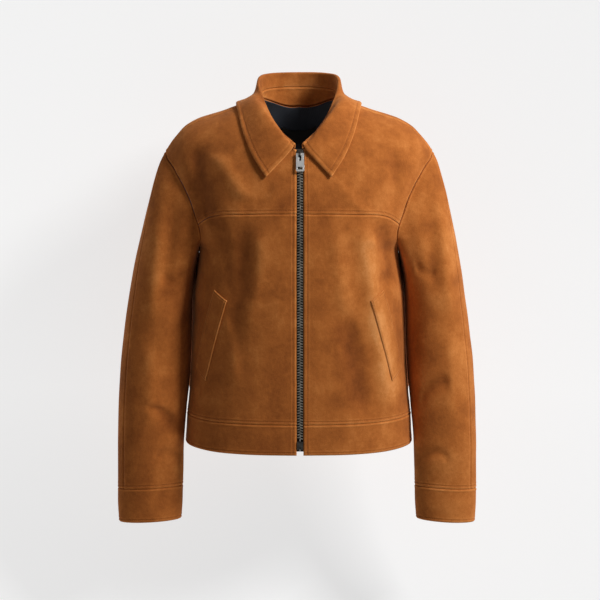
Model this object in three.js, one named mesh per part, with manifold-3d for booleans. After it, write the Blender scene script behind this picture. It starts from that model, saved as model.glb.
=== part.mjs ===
// A cropped suede jacket with a turned-down collar and a front zip, filled out as worn, with no wearer.
// Millimetres, +Z up, front towards -Y. The origin is in the neck opening, level with the back neck seam.
import * as THREE from 'three';
import { mergeVertices } from 'three/addons/utils/BufferGeometryUtils.js';
import Module from 'manifold-3d';

const wasm = await Module();
wasm.setup();

// Driving sizes
const suede = 1.6; // a panel's wall: suede and its lining
const doubled = 2.6; // waistband and cuffs, two layers of suede
const collarWall = 2;
const liningWall = 1;
const labelWall = 0.8;
const weltWall = 1.4;
const seamGap = 0.3;
const armpitZ = -228;
const waistSeam = -265; // height of the waistband's seam below the armpit
const hem = -313; // height of the hem below the armpit
const sideRise = 6; // the hem lies higher at the side seams than at the front
const ringPower = 2.4; // squareness of a level ring round the body
const frontPower = 2; // roundness of the chest up to the shoulder
const backPower = 2.6; // roundness of the upper back, flatter than the chest
const backSwell = { out: 9, from: 55, top: 0, full: 40, ebb: 110, foot: 170 }; // behind the side seams
const shoulderSeamLift = 78.5; // the shoulder seam lies forward of the ridge
const neckHalfWidth = 70;
const neckFront = -97;
const neckBack = 68;
const neckFrontPower = 1.6; // the neckline is sharper in front than an ellipse
const zipX = 2; // the zip hangs just off the middle
const zipHalfGap = 5.2; // half of the strip of teeth that shows between the fronts

// The body by level. A level is millimetres below the armpit, or above it degrees of lift to the ridge.
const frontRows = [
  { level: -313, wide: 182, deep: 117, edge: 182 },
  { level: -265, wide: 178.6, deep: 118, edge: 178.6 },
  { level: -212, wide: 173.5, deep: 119, edge: 173.5 },
  { level: -152, wide: 170.2, deep: 120, edge: 170.2 },
  { level: -72, wide: 166, deep: 122, edge: 166 },
  { level: 0, wide: 158, deep: 122, edge: 158 },
  { level: 5, wide: 166, deep: 122, edge: 153.5 },
  { level: 10, wide: 172, deep: 122, edge: 155 },
  { level: 15, wide: 178, deep: 122, edge: 161 },
  { level: 22, wide: 185, deep: 122, edge: 168.5 },
  { level: 30, wide: 192, deep: 122, edge: 179 },
  { level: 42, wide: 202, deep: 122, edge: 192.5 },
  { level: 62, wide: 214, deep: 122, edge: 207.5 },
  { level: 90, wide: 221, deep: 122, edge: 212 },
];
const backRows = [
  { level: -313, wide: 182, deep: 100, edge: 182 },
  { level: -265, wide: 178.6, deep: 97, edge: 178.6 },
  { level: -212, wide: 173.5, deep: 96, edge: 173.5 },
  { level: -152, wide: 170.2, deep: 99, edge: 170.2 },
  { level: -72, wide: 166, deep: 106, edge: 166 },
  { level: 0, wide: 158, deep: 112, edge: 158 },
  { level: 5, wide: 167, deep: 112, edge: 156.5 },
  { level: 12, wide: 177, deep: 112, edge: 160 },
  { level: 22, wide: 187, deep: 112, edge: 168.5 },
  { level: 32, wide: 195, deep: 112, edge: 178 },
  { level: 45, wide: 205, deep: 112, edge: 191.5 },
  { level: 65, wide: 215, deep: 112, edge: 207 },
  { level: 90, wide: 221, deep: 112, edge: 212 },
];

// The shoulder ridge seen from the front, from the middle of the neck to past the armhole
const ridgeRows = [
  { x: 0, z: 30 },
  { x: 40, z: 19.5 },
  { x: 77, z: 6.5 },
  { x: 105, z: -2.8 },
  { x: 120, z: -8.2 },
  { x: 140, z: -14.5 },
  { x: 160, z: -21.5 },
  { x: 180, z: -33 },
  { x: 192, z: -45.5 },
  { x: 203, z: -59 },
  { x: 212, z: -74 },
  { x: 221, z: -95 },
];

// The yoke seam's lift across the front, by the share of the way from zip to armhole
const yokeSeamRows = [
  { share: 0, lift: 13.4 },
  { share: 0.4, lift: 14.6 },
  { share: 0.7, lift: 14.9 },
  { share: 1, lift: 11.6 },
];

// The sleeve by ring, from the armhole to the cuff's edge. outX, outZ and inX, inZ are the ring's
// outermost and innermost points, midY its middle, fore and aft its depth to the front and back,
// blend how much of the armhole's own outline it keeps, seam where the overarm seam lies round it.
const sleeveRows = [
  { outX: 212, outZ: -74, inX: 158, inZ: -228, midY: 0, fore: 62, aft: 56, blend: 1, seam: 166 },
  { outX: 221, outZ: -92, inX: 161, inZ: -240, midY: -1, fore: 63, aft: 58, blend: 0.78, seam: 160 },
  { outX: 231.5, outZ: -126, inX: 164.5, inZ: -256, midY: -3, fore: 63, aft: 60, blend: 0.52, seam: 154 },
  { outX: 240.5, outZ: -162, inX: 167.5, inZ: -275, midY: -5, fore: 61, aft: 60, blend: 0.3, seam: 149 },
  { outX: 248.5, outZ: -200, inX: 169.5, inZ: -298, midY: -7, fore: 58, aft: 58, blend: 0.14, seam: 145 },
  { outX: 257, outZ: -240, inX: 170.5, inZ: -324, midY: -9, fore: 55, aft: 55, blend: 0.04, seam: 142 },
  { outX: 264, outZ: -280, inX: 171, inZ: -352, midY: -11, fore: 52, aft: 52, blend: 0, seam: 140 },
  { outX: 270, outZ: -320, inX: 171.5, inZ: -381, midY: -13, fore: 49, aft: 49, blend: 0, seam: 139 },
  { outX: 275.5, outZ: -361, inX: 173, inZ: -411, midY: -15, fore: 47, aft: 46, blend: 0, seam: 138 },
  { outX: 280, outZ: -402, inX: 175, inZ: -441, midY: -18, fore: 45, aft: 43, blend: 0, seam: 138 },
  { outX: 282.5, outZ: -442, inX: 178, inZ: -472, midY: -21, fore: 43, aft: 40, blend: 0, seam: 138 },
  { outX: 284, outZ: -482, inX: 181, inZ: -504, midY: -25, fore: 40, aft: 37, blend: 0, seam: 138 },
  { outX: 285, outZ: -524, inX: 183, inZ: -537, midY: -29, fore: 36, aft: 34, blend: 0, seam: 138 },
  { outX: 285.5, outZ: -566, inX: 184, inZ: -570, midY: -32, fore: 32, aft: 31, blend: 0, seam: 138 },
  { outX: 285.5, outZ: -606, inX: 184.5, inZ: -601, midY: -34, fore: 29, aft: 29, blend: 0, seam: 138 },
  { outX: 285.5, outZ: -633, inX: 185.5, inZ: -628, midY: -35, fore: 29, aft: 29, blend: 0, seam: 138 },
  { outX: 283.5, outZ: -660, inX: 187.5, inZ: -655, midY: -36, fore: 28, aft: 28, blend: 0, seam: 138 },
];
const tipEase = 0.3; // spreads the points near the shoulder tip
const cuffRing = 14; // the ring where the cuff is sewn on
const cuffRings = [cuffRing, 14.7, 15.4, 16];
const capRing = 0.4; // an extra ring close to the armhole
const sleeveSway = -3; // both sleeves' outer sides hang a little to one side

// The collar by station, from its front corner round to the middle of the back. turn is the place
// along the neck seam, roll the fold, edge the outer edge, over the fall's height above the neck seam.
const collarRows = [
  { turn: 7, roll: [5, -99, -62.5], edge: [50, -111.5, -113], over: 6 },
  { turn: 14, roll: [10, -92.5, -57.5], edge: [60, -106.5, -98], over: 6.5 },
  { turn: 21, roll: [17, -85.5, -51.5], edge: [69, -99.5, -84], over: 7 },
  { turn: 31, roll: [26, -75, -43], edge: [78, -89, -66], over: 7.5 },
  { turn: 53, roll: [41.5, -55, -21.5], edge: [87, -71.5, -42], over: 8 },
  { turn: 80, roll: [53, -30, 4], edge: [95, -45, -13], over: 9 },
  { turn: 106, roll: [60.5, -10, 27], edge: [99, -19, 2], over: 10 },
  { turn: 119, roll: [62.5, 8, 40.5], edge: [98, 9, 5], over: 12 },
  { turn: 129, roll: [58.5, 26, 48.5], edge: [90.5, 34, 3], over: 13 },
  { turn: 142, roll: [46, 45, 52.5], edge: [73, 58, -4], over: 13 },
  { turn: 160, roll: [26, 58.5, 54.5], edge: [39, 79, -13], over: 13 },
  { turn: 180, roll: [0, 63, 55], edge: [0, 86, -16], over: 13 },
];
const footClearance = 1.2; // the stand's foot sits on the neck seam
const rollRadius = 3;
const fallClearance = 1.4; // between the fall's underside and the body
const insideFold = 20; // the collar's seam lies this far below the fold, on the inside

// The largest folds: a ridge or a trough along three points seen from the front or the back
const foldRows = [
  { face: -1, ax: -157, az: -66, bx: -152, bz: -120, cx: -142, cz: -176, depth: -5, width: 15 },
  { face: -1, ax: -126, az: -78, bx: -106, bz: -110, cx: -84, cz: -146, depth: 4, width: 16 },
  { face: -1, ax: -84, az: -190, bx: -83, bz: -245, cx: -112, cz: -392, depth: -5, width: 17 },
  { face: -1, ax: -64, az: -200, bx: -66, bz: -270, cx: -92, cz: -350, depth: 3.5, width: 16 },
  { face: -1, ax: 100, az: -190, bx: 118, bz: -300, cx: 146, cz: -480, depth: 7, width: 15 },
  { face: -1, ax: 74, az: -330, bx: 88, bz: -390, cx: 102, cz: -480, depth: -5, width: 17 },
  { face: -1, ax: 128, az: -184, bx: 136, bz: -235, cx: 139, cz: -280, depth: -5, width: 13 },
  { face: -1, ax: -196, az: -520, bx: -206, bz: -490, cx: -232, cz: -470, depth: -4, width: 13 },
  { face: -1, ax: 190, az: -468, bx: 206, bz: -446, cx: 236, cz: -436, depth: -4, width: 13 },
  { face: 1, ax: -120, az: -190, bx: -112, bz: -290, cx: -126, cz: -430, depth: -6, width: 18 },
  { face: 1, ax: 122, az: -200, bx: 110, bz: -300, cx: 130, cz: -440, depth: -6, width: 18 },
  { face: 1, ax: -40, az: -330, bx: -48, bz: -400, cx: -60, cz: -480, depth: 5, width: 18 },
  { face: 1, ax: 52, az: -300, bx: 60, bz: -380, cx: 74, cz: -480, depth: 5, width: 18 },
  { face: 1, ax: -190, az: -410, bx: -220, bz: -392, cx: -252, cz: -396, depth: -5, width: 14 },
  { face: 1, ax: 190, az: -400, bx: 222, bz: -388, cx: 250, cz: -396, depth: -5, width: 14 },
];
const foldFadeY = 34; // a fold fades out towards the sides

// Slanted pocket welts: degrees round from the middle, and millimetres below the armpit
const weltTop = { inner: 37.5, innerLevel: -75, outer: 49, outerLevel: -59 };
const weltFoot = { inner: 54, innerLevel: -204, outer: 67.6, outerLevel: -186 };
const weltGap = 0.7; // room for the flat facets of the front under a welt
const weltSteps = 11;

// Zip: seen between the fronts, from under the collar to the waistband's foot
const zipTopZ = -74;
const zipFootZ = -531;
const chainWidth = 8.4;
const chainProud = 0.3;
const tapeWidth = 14;
const tapeWall = 0.9;
const tapeGap = 0.4; // room for the flat facets of the fronts over the tapes
const tapeSpare = 4; // the tapes run past the teeth
const stopBox = { width: 9.4, height: 12, proud: 1.4 };
const slider = { width: 9.6, height: 15, wall: 3.2, off: -1.2, topZ: -71 };
const loop = { clear: 2.1, bar: 1.3, width: 2.2 }; // the slider's loop round the pull's top bar
const pull = {
  width: 12,
  height: 29,
  wall: 1.8,
  corner: 1.2,
  bar: 3, // the bar at the pull's top, which turns in the loop
  axisDown: 8.6, // below the slider's top
  slotWidth: 3.6,
  slotHeight: 9.5,
  windowWidth: 7.6,
  windowHeight: 4.4,
  windowUp: 2.6,
};
const pullReach = 30; // the height over which the zip's lean is taken

// Steps of the grids
const neckShares = [0, 0.13, 0.3, 0.5, 0.74, 1]; // across a front from the zip to the neck point
const backNeckShares = [0.18, 0.38, 0.6, 0.82]; // across the back from its middle to the neck point
const panelShares = [0.1, 0.2, 0.31, 0.42, 0.53, 0.64, 0.75, 0.86, 0.94, 1]; // and on to the armhole
const lowerLevels = [waistSeam, -238, -208, -178, -148, -118, -90, -64, -40, -18, 0];
const underYokeShares = [0.34, 0.67, 1];
const yokeShares = [0, 0.1, 0.2, 0.32, 0.45, 0.6, 0.75, 0.88, 1];
const backLifts = [2.5, 6, 10, 15, 21, 28, 36, 45, 55, 66, 78, 90, 101.5];
const labelLifts = [66, 78];
const bandLevels = [waistSeam, -281, -297, hem];
const zipSteps = 24;

const degree = Math.PI / 180;
const vector = (x, y, z) => new THREE.Vector3(x, y, z);
const lerp = THREE.MathUtils.lerp;
const clamp = THREE.MathUtils.clamp;

// A smooth curve through one column of a table, read at a value of its key column
function along(rows, key, column, at) {
  const last = rows.length - 1;
  let i = 0;
  while (i < last - 1 && at > rows[i + 1][key]) i += 1;
  const slope = (k) => {
    const before = rows[Math.max(k - 1, 0)];
    const after = rows[Math.min(k + 1, last)];
    return (after[column] - before[column]) / (after[key] - before[key]);
  };
  const span = rows[i + 1][key] - rows[i][key];
  const t = clamp((at - rows[i][key]) / span, 0, 1);
  const rise = rows[i + 1][column] - rows[i][column];
  const bend = (slope(i) * span - rise) * (1 - t) + (rise - slope(i + 1) * span) * t;
  return rows[i][column] + rise * t + bend * t * (1 - t);
}

// Depth that the folds add at a point seen from the front (face -1) or the back (face 1)
function foldDepth(x, y, z) {
  let depth = 0;
  for (const fold of foldRows) {
    const side = clamp((y * fold.face) / foldFadeY, 0, 1);
    if (side === 0) continue;
    const across = Math.abs(fold.cx - fold.ax) > Math.abs(fold.cz - fold.az);
    const [a, b, c] = across ? [fold.ax, fold.bx, fold.cx] : [fold.az, fold.bz, fold.cz];
    const [p, q, r] = across ? [fold.az, fold.bz, fold.cz] : [fold.ax, fold.bx, fold.cx];
    const middle = (b - a) / (c - a);
    const t = clamp(((across ? x : z) - a) / (c - a), -0.5, 1.5);
    const near = ((t - middle) * (t - 1)) / middle;
    const centre = (t * (t - 1)) / (middle * (middle - 1));
    const far = (t * (t - middle)) / (1 - middle);
    const miss = (across ? z : x) - (p * near + q * centre + r * far);
    const ends = clamp(t * 3.5 + 0.35, 0, 1) * clamp((1 - t) * 3.5 + 0.35, 0, 1);
    const fade = ends * ends * (3 - 2 * ends);
    depth += fold.depth * fold.face * side * fade * Math.exp(-((miss / fold.width) ** 2));
  }
  return depth;
}

function folded(point) {
  point.y += foldDepth(point.x, point.y, point.z);
  return point;
}

// What shapes the body at a level. The back's levels past 90 degrees lie over the ridge, on the front
function faceAt(isBack, level) {
  if (isBack && level <= 90) return { rows: backRows, lift: level, face: 1, power: backPower };
  return { rows: frontRows, lift: isBack ? 180 - level : level, face: -1, power: frontPower };
}

// How far the back bulges out behind a side seam, by degrees of turn and millimetres below the armpit
function sideSwell(turn, drop) {
  const { out, from, top, full, ebb, foot } = backSwell;
  const across = Math.sin(Math.PI * clamp((turn - from) / (90 - from), 0, 1)) ** 2;
  const ramp = THREE.MathUtils.smoothstep;
  return out * across * ramp(drop, top, full) * (1 - ramp(drop, ebb, foot));
}

// The body's surface before its folds. turn runs in degrees from the middle, + to the wearer's left
function plainPoint(isBack, turn, level) {
  const { rows, lift, face, power } = faceAt(isBack, level);
  const wide = along(rows, 'level', 'wide', lift);
  const deep = along(rows, 'level', 'deep', lift);
  const sine = Math.abs(Math.sin(turn * degree));
  const x = Math.sign(turn) * wide * sine ** (2 / ringPower);
  const round = Math.max(Math.cos(turn * degree), 0) ** (2 / ringPower);
  if (lift <= 0) {
    const swell = face > 0 ? sideSwell(Math.abs(turn), -lift) * Math.sign(turn) : 0;
    return vector(x + swell, face * deep * round, armpitZ + lift + sideRise * (lift / hem) * sine ** 4);
  }
  const rise = Math.sin(lift * degree);
  const ridge = along(ridgeRows, 'x', 'z', Math.abs(x));
  const y = face * deep * round * Math.max(1 - rise ** power, 0) ** (1 / power);
  return vector(x, y, armpitZ + (ridge - armpitZ) * rise);
}

function bodyPoint(isBack, turn, level) {
  return folded(plainPoint(isBack, turn, level));
}

// Degrees round a level ring to a distance from the middle
function turnTo(isBack, x, level) {
  const { rows, lift } = faceAt(isBack, level);
  const wide = along(rows, 'level', 'wide', lift);
  return (Math.asin(Math.min(Math.abs(x) / wide, 1) ** (ringPower / 2)) / degree) * Math.sign(x);
}

// Degrees round to the armhole, or to the side seam below it
function edgeTurn(isBack, level) {
  if (level <= 0) return 90;
  const { rows, lift } = faceAt(isBack, level);
  return turnTo(isBack, along(rows, 'level', 'edge', lift), level);
}

// A surface's outward normal from its own neighbours
function normalOf(surface, a, b, stepA, stepB) {
  const da = surface(a + stepA, b).sub(surface(a - stepA, b));
  const db = surface(a, b + stepB).sub(surface(a, b - stepB));
  return da.cross(db).normalize();
}

function bodyNormal(isBack, turn, level) {
  const stepTurn = Math.min(0.4, Math.max(90 - Math.abs(turn), 0.01));
  const surface = (a, b) => bodyPoint(isBack, clamp(a, -90, 90), b);
  const normal = normalOf(surface, turn, level, stepTurn, 0.4);
  const outward = vector(Math.sin(turn * degree), (isBack ? 1 : -1) * Math.cos(turn * degree), 0.5);
  return normal.dot(outward) < 0 ? normal.negate() : normal;
}

// Neck seam: an egg in plan, widest at the shoulder seam
const shoulderWide = along(frontRows, 'level', 'wide', shoulderSeamLift);
const chestDepth = along(frontRows, 'level', 'deep', shoulderSeamLift);
const neckMidY = -chestDepth * Math.cos(shoulderSeamLift * degree)
  * (1 - (neckHalfWidth / shoulderWide) ** ringPower) ** (1 / ringPower);

function insideNeck(point) {
  const isFront = point.y < neckMidY;
  const reach = isFront ? neckMidY - neckFront : neckBack - neckMidY;
  const power = isFront ? neckFrontPower : 2;
  return Math.abs(point.x / neckHalfWidth) ** power + Math.abs((point.y - neckMidY) / reach) ** power < 1;
}

// The level where a column of the body meets the neck seam, or the shoulder seam beyond the neck point
function topLevel(isBack, turnAt) {
  const last = isBack ? 180 - shoulderSeamLift : shoulderSeamLift;
  let low = 20;
  while (low < last && !insideNeck(bodyPoint(isBack, turnAt(low + 1), low + 1))) low += 1;
  if (low >= last) return last;
  let high = low + 1;
  for (let i = 0; i < 30; i += 1) {
    const middle = (low + high) / 2;
    if (insideNeck(bodyPoint(isBack, turnAt(middle), middle))) high = middle;
    else low = middle;
  }
  return Math.min(low, last);
}

// Columns of the front, as shares of the way from the zip's edge to the armhole
const seamEdge = edgeTurn(false, shoulderSeamLift);
const neckPointTurn = turnTo(false, neckHalfWidth, shoulderSeamLift);

function frontColumns(side) {
  const start = turnTo(false, zipHalfGap + side * zipX, shoulderSeamLift);
  const neckShare = (neckPointTurn - start) / (seamEdge - start);
  const toNeck = neckShares.map((share) => share * neckShare);
  const beyond = panelShares.map((share) => lerp(neckShare, 1, share));
  return { neckShare, shares: toNeck.concat(beyond) };
}

function frontTurn(side, share, level) {
  const start = turnTo(false, zipHalfGap + side * zipX, level);
  return lerp(start, edgeTurn(false, level), share);
}

// Back columns land on the same shoulder seam points as the front's
function backColumns(side) {
  const { neckShare, shares } = frontColumns(side);
  const start = turnTo(false, zipHalfGap + side * zipX, shoulderSeamLift);
  const beyond = shares.filter((share) => share > neckShare + 1e-9);
  const landing = beyond.map((share) => lerp(start, seamEdge, share) / seamEdge);
  const neckPoint = neckPointTurn / seamEdge;
  return backNeckShares.map((share) => share * neckPoint).concat([neckPoint], landing);
}

// A point of a sleeve's ring, round it from the innermost point by way of the front
function ringPoint(row, around) {
  const reach = (1 - Math.cos(around)) / 2;
  const depth = Math.sin(around) > 0 ? row.fore : row.aft;
  const x = lerp(row.inX, row.outX, reach);
  return vector(x, row.midY - depth * Math.sin(around), lerp(row.inZ, row.outZ, reach));
}

// The row between two of the table's rings
function sleeveRow(ring) {
  const i = clamp(Math.floor(ring), 0, sleeveRows.length - 2);
  const t = ring - i;
  const rows = [i - 1, i, i + 1, i + 2].map((k) => sleeveRows[clamp(k, 0, sleeveRows.length - 1)]);
  const blended = {};
  for (const column of Object.keys(sleeveRows[0])) {
    const [a, b, c, d] = rows.map((row) => row[column]);
    const bend = (3 * b - a - 3 * c + d) * t + (2 * a - 5 * b + 4 * c - d);
    blended[column] = b + 0.5 * t * (c - a + t * bend);
  }
  return blended;
}

// The armhole, shared by body and sleeve: level 0 is the armpit, and front and back end at the shoulder seam
function armholePoint(isBack, level) {
  return plainPoint(isBack, edgeTurn(isBack, level), level);
}

// How far round the first ring a point of the armhole lies, from the armpit to the shoulder tip
function armholeTurn(isBack, level) {
  const start = sleeveRows[0];
  const low = vector(start.inX, start.midY, start.inZ);
  const reach = vector(start.outX, start.midY, start.outZ).sub(low);
  const share = armholePoint(isBack, level).sub(low).dot(reach) / reach.lengthSq();
  const shortOfTip = 1 - tipEase * (1 - level / 90) ** 2;
  return Math.acos(1 - 2 * clamp(share, 0, shortOfTip));
}

// The sleeve's surface. level is the place round the armhole, ring the row
function sleevePoint(side, isBack, level, ring) {
  const start = sleeveRows[0];
  const half = armholeTurn(isBack, level);
  const around = isBack && level <= 90 ? 2 * Math.PI - half : half;
  const own = armholePoint(isBack, level).sub(ringPoint(start, around));
  const row = sleeveRow(ring);
  const seamStart = armholeTurn(false, shoulderSeamLift);
  const seam = seamStart + (row.seam - start.seam) * degree;
  const scale = isBack ? (2 * Math.PI - seam) / (2 * Math.PI - seamStart) : seam / seamStart;
  const turned = isBack ? 2 * Math.PI - (2 * Math.PI - around) * scale : around * scale;
  const point = ringPoint(row, turned).addScaledVector(own, row.blend);
  const outer = (1 - Math.cos(turned)) / 2;
  point.x = point.x * side + outer * sleeveSway * THREE.MathUtils.smoothstep(ring, 1, 8);
  return folded(point);
}

// The level at the overarm seam is where the shoulder seam lands
function sleeveLevels(isBack) {
  if (isBack) return [0].concat(backLifts);
  const under = underYokeShares.map((share) => share * along(yokeSeamRows, 'share', 'lift', 1));
  const yoke = yokeShares.slice(1).map((share) => lerp(under[under.length - 1], shoulderSeamLift, share));
  return [0].concat(under, yoke);
}

function sleeveNormal(side, isBack, level, ring) {
  const top = isBack ? 180 - shoulderSeamLift : shoulderSeamLift;
  const at = clamp(level, 0.4, top - 0.4);
  const place = clamp(ring, 0.03, sleeveRows.length - 1.03);
  const surface = (a, b) => sleevePoint(side, isBack, a, b);
  const normal = normalOf(surface, at, place, 0.3, 0.03);
  const row = sleeveRow(ring);
  const middle = vector((row.inX + row.outX) / 2, row.midY, (row.inZ + row.outZ) / 2);
  middle.x *= side;
  const outward = sleevePoint(side, isBack, level, ring).sub(middle);
  return normal.dot(outward) < 0 ? normal.negate() : normal;
}

// At a seam along the sleeve both halves take the same normal
function sleeveSeamNormal(side, isBack, level, ring) {
  const front = shoulderSeamLift;
  if (level === 0) {
    const a = sleeveNormal(side, false, 0, ring);
    return a.add(sleeveNormal(side, true, 0, ring)).normalize();
  }
  if (level === (isBack ? 180 - front : front)) {
    const a = sleeveNormal(side, false, front, ring);
    return a.add(sleeveNormal(side, true, 180 - front, ring)).normalize();
  }
  return sleeveNormal(side, isBack, level, ring);
}

// At the armhole body and sleeve share a mitred inner edge
function armholeInward(side, isBack, level) {
  const body = bodyNormal(isBack, side * Math.min(edgeTurn(isBack, level), 89.5), Math.max(level, 0.5));
  const sleeve = sleeveSeamNormal(side, isBack, level, 0);
  const middle = body.clone().add(sleeve).normalize();
  if (level < 12) middle.lerp(vector(0, 0, -1), 1 - level / 12).normalize();
  return middle.divideScalar(clamp(middle.dot(body), 0.55, 1));
}

// Grids hold rows of { outer, inner } points
function gridOf(rows, columns, place) {
  return rows.map((row) => columns.map((column) => place(row, column)));
}

function walled(point, normal, wall, lift = 0) {
  return {
    outer: point.clone().addScaledVector(normal, lift),
    inner: point.clone().addScaledVector(normal, lift - wall),
  };
}

// Draw an edge of a grid back from its seam by half the gap
function drawBack(grid, edge, distance = seamGap / 2) {
  const high = grid.length - 1;
  const wide = grid[0].length - 1;
  const pairs = [];
  if (edge === 'first' || edge === 'last') {
    const [at, next] = edge === 'first' ? [0, 1] : [high, high - 1];
    for (let j = 0; j <= wide; j += 1) pairs.push([grid[at][j], grid[next][j]]);
  } else {
    const [at, next] = edge === 'left' ? [0, 1] : [wide, wide - 1];
    for (let i = 0; i <= high; i += 1) pairs.push([grid[i][at], grid[i][next]]);
  }
  for (const [cell, neighbour] of pairs) {
    for (const layer of ['outer', 'inner']) {
      const step = neighbour[layer].clone().sub(cell[layer]);
      cell[layer].addScaledVector(step.normalize(), distance);
    }
  }
}

// A closed wall from a grid, open at its four edges or joined round into a tube
function wallGeometry(grid, isTube = false) {
  const high = grid.length;
  const wide = grid[0].length;
  const positions = [];
  for (const layer of ['outer', 'inner']) {
    for (const row of grid) {
      for (const cell of row) positions.push(cell[layer].x, cell[layer].y, cell[layer].z);
    }
  }
  const at = (layer, i, j) => layer * high * wide + i * wide + (j % wide);
  const faces = [];
  const quad = (a, b, c, d) => faces.push(a, b, c, a, c, d);
  const last = isTube ? wide : wide - 1;
  for (let i = 0; i < high - 1; i += 1) {
    for (let j = 0; j < last; j += 1) {
      quad(at(0, i, j), at(0, i, j + 1), at(0, i + 1, j + 1), at(0, i + 1, j));
      quad(at(1, i, j), at(1, i + 1, j), at(1, i + 1, j + 1), at(1, i, j + 1));
    }
  }
  for (let j = 0; j < last; j += 1) {
    quad(at(0, 0, j), at(1, 0, j), at(1, 0, j + 1), at(0, 0, j + 1));
    quad(at(0, high - 1, j + 1), at(1, high - 1, j + 1), at(1, high - 1, j), at(0, high - 1, j));
  }
  if (!isTube) {
    for (let i = 0; i < high - 1; i += 1) {
      quad(at(0, i + 1, 0), at(1, i + 1, 0), at(1, i, 0), at(0, i, 0));
      quad(at(0, i, wide - 1), at(1, i, wide - 1), at(1, i + 1, wide - 1), at(0, i + 1, wide - 1));
    }
  }
  if (enclosed(positions, faces) < 0) faces.reverse();
  const geometry = new THREE.BufferGeometry();
  geometry.setAttribute('position', new THREE.Float32BufferAttribute(positions, 3));
  geometry.setIndex(faces);
  geometry.computeVertexNormals();
  return geometry;
}

// Six times the volume that a list of faces encloses, negative when they point inwards
function enclosed(positions, faces) {
  const corner = (k) => vector(positions[3 * k], positions[3 * k + 1], positions[3 * k + 2]);
  let sum = 0;
  for (let f = 0; f < faces.length; f += 3) {
    sum += corner(faces[f]).dot(corner(faces[f + 1]).cross(corner(faces[f + 2])));
  }
  return sum;
}

function finish(color, roughness, metalness) {
  return new THREE.MeshStandardMaterial({ color, roughness, metalness });
}

const jacket = new THREE.Group();
const sides = [
  { name: 'left', side: 1 },
  { name: 'right', side: -1 },
];

function addPiece(name, geometry, material) {
  const piece = new THREE.Mesh(geometry, material);
  piece.name = name;
  jacket.add(piece);
  return piece;
}

const suedeFinish = () => finish(0xa5632f, 0.95, 0);
const liningFinish = () => finish(0x20222c, 0.6, 0);
const metalFinish = (color) => finish(color, 0.3, 1);

function bodyCell(isBack, turn, level, wall, lift) {
  return walled(bodyPoint(isBack, turn, level), bodyNormal(isBack, turn, level), wall, lift);
}

function armholeCell(side, isBack, level) {
  const point = bodyPoint(isBack, side * edgeTurn(isBack, level), level);
  return walled(point, armholeInward(side, isBack, level), suede);
}

// Fronts, yokes and the waistband's front pieces
function addFront({ name, side }) {
  const { shares } = frontColumns(side);
  const panelCell = (share, level) => {
    if (share === 1 && level > 0) return armholeCell(side, false, level);
    return bodyCell(false, side * frontTurn(side, share, level), level, suede);
  };
  const yokeSeam = (share) => along(yokeSeamRows, 'share', 'lift', share);
  const below = gridOf(lowerLevels, shares, (level, share) => panelCell(share, level));
  const above = gridOf(underYokeShares, shares, (rise, share) => panelCell(share, rise * yokeSeam(share)));
  const lower = below.concat(above);
  ['first', 'last', 'right'].forEach((edge) => drawBack(lower, edge));
  addPiece(`front_${name}`, wallGeometry(lower), suedeFinish());

  const tops = shares.map((share) => topLevel(false, (level) => frontTurn(side, share, level)));
  const yoke = gridOf(yokeShares, shares.map((share, j) => ({ share, top: tops[j] })), (rise, column) => (
    panelCell(column.share, lerp(yokeSeam(column.share), column.top, rise))));
  ['first', 'last', 'right'].forEach((edge) => drawBack(yoke, edge));
  addPiece(`yoke_${name}`, wallGeometry(yoke), suedeFinish());

  const band = gridOf(bandLevels, shares, (level, share) => (
    bodyCell(false, side * frontTurn(side, share, level), level, doubled)));
  ['first', 'right'].forEach((edge) => drawBack(band, edge));
  addPiece(`waistband_front_${name}`, wallGeometry(band), suedeFinish());
}

// The back in one panel, over the ridge to the forward shoulder seams
function backGridColumns() {
  const column = (side) => (share) => {
    const turnAt = (level) => share * edgeTurn(true, level);
    return { side, share, top: topLevel(true, turnAt) };
  };
  const left = backColumns(1).map(column(1));
  const right = backColumns(-1).map(column(-1)).reverse();
  return right.concat([column(1)(0)], left);
}

function addBack() {
  const columns = backGridColumns();
  const fullTop = 180 - shoulderSeamLift;
  const levels = lowerLevels.concat(backLifts);
  const cell = (level, { side, share, top }) => {
    const at = level > 0 ? (level / fullTop) * top : level;
    if (share === 1 && at > 0) return armholeCell(side, true, at);
    return bodyCell(true, side * share * edgeTurn(true, at), at, suede);
  };
  const panel = gridOf(levels, columns, cell);
  ['first', 'last', 'left', 'right'].forEach((edge) => drawBack(panel, edge));
  addPiece('back', wallGeometry(panel), suedeFinish());

  const band = gridOf(bandLevels, columns, (level, { side, share }) => (
    bodyCell(true, side * share * 90, level, doubled)));
  ['first', 'left', 'right'].forEach((edge) => drawBack(band, edge));
  addPiece('waistband_back', wallGeometry(band), suedeFinish());
}

// Two-piece sleeves and their cuffs
function addSleeve({ name, side }) {
  const rings = Array.from({ length: cuffRing + 1 }, (unused, i) => i);
  rings.splice(1, 0, capRing);
  for (const isBack of [false, true]) {
    const half = gridOf(rings, sleeveLevels(isBack), (ring, level) => {
      const normal = ring === 0 ? armholeInward : sleeveSeamNormal;
      return walled(sleevePoint(side, isBack, level, ring), normal(side, isBack, level, ring), suede);
    });
    drawBack(half, 'first', seamGap);
    ['last', 'left', 'right'].forEach((edge) => drawBack(half, edge));
    addPiece(`sleeve_${name}_${isBack ? 'back' : 'front'}`, wallGeometry(half), suedeFinish());
  }
  const round = sleeveLevels(false).map((level) => ({ isBack: false, level }));
  const behind = sleeveLevels(true).map((level) => ({ isBack: true, level }));
  const ring = round.concat(behind.slice(1, -1).reverse());
  const cuff = gridOf(cuffRings, ring, (row, { isBack, level }) => (
    walled(sleevePoint(side, isBack, level, row), sleeveSeamNormal(side, isBack, level, row), doubled)));
  drawBack(cuff, 'first');
  addPiece(`cuff_${name}`, wallGeometry(cuff, true), suedeFinish());
}

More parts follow.
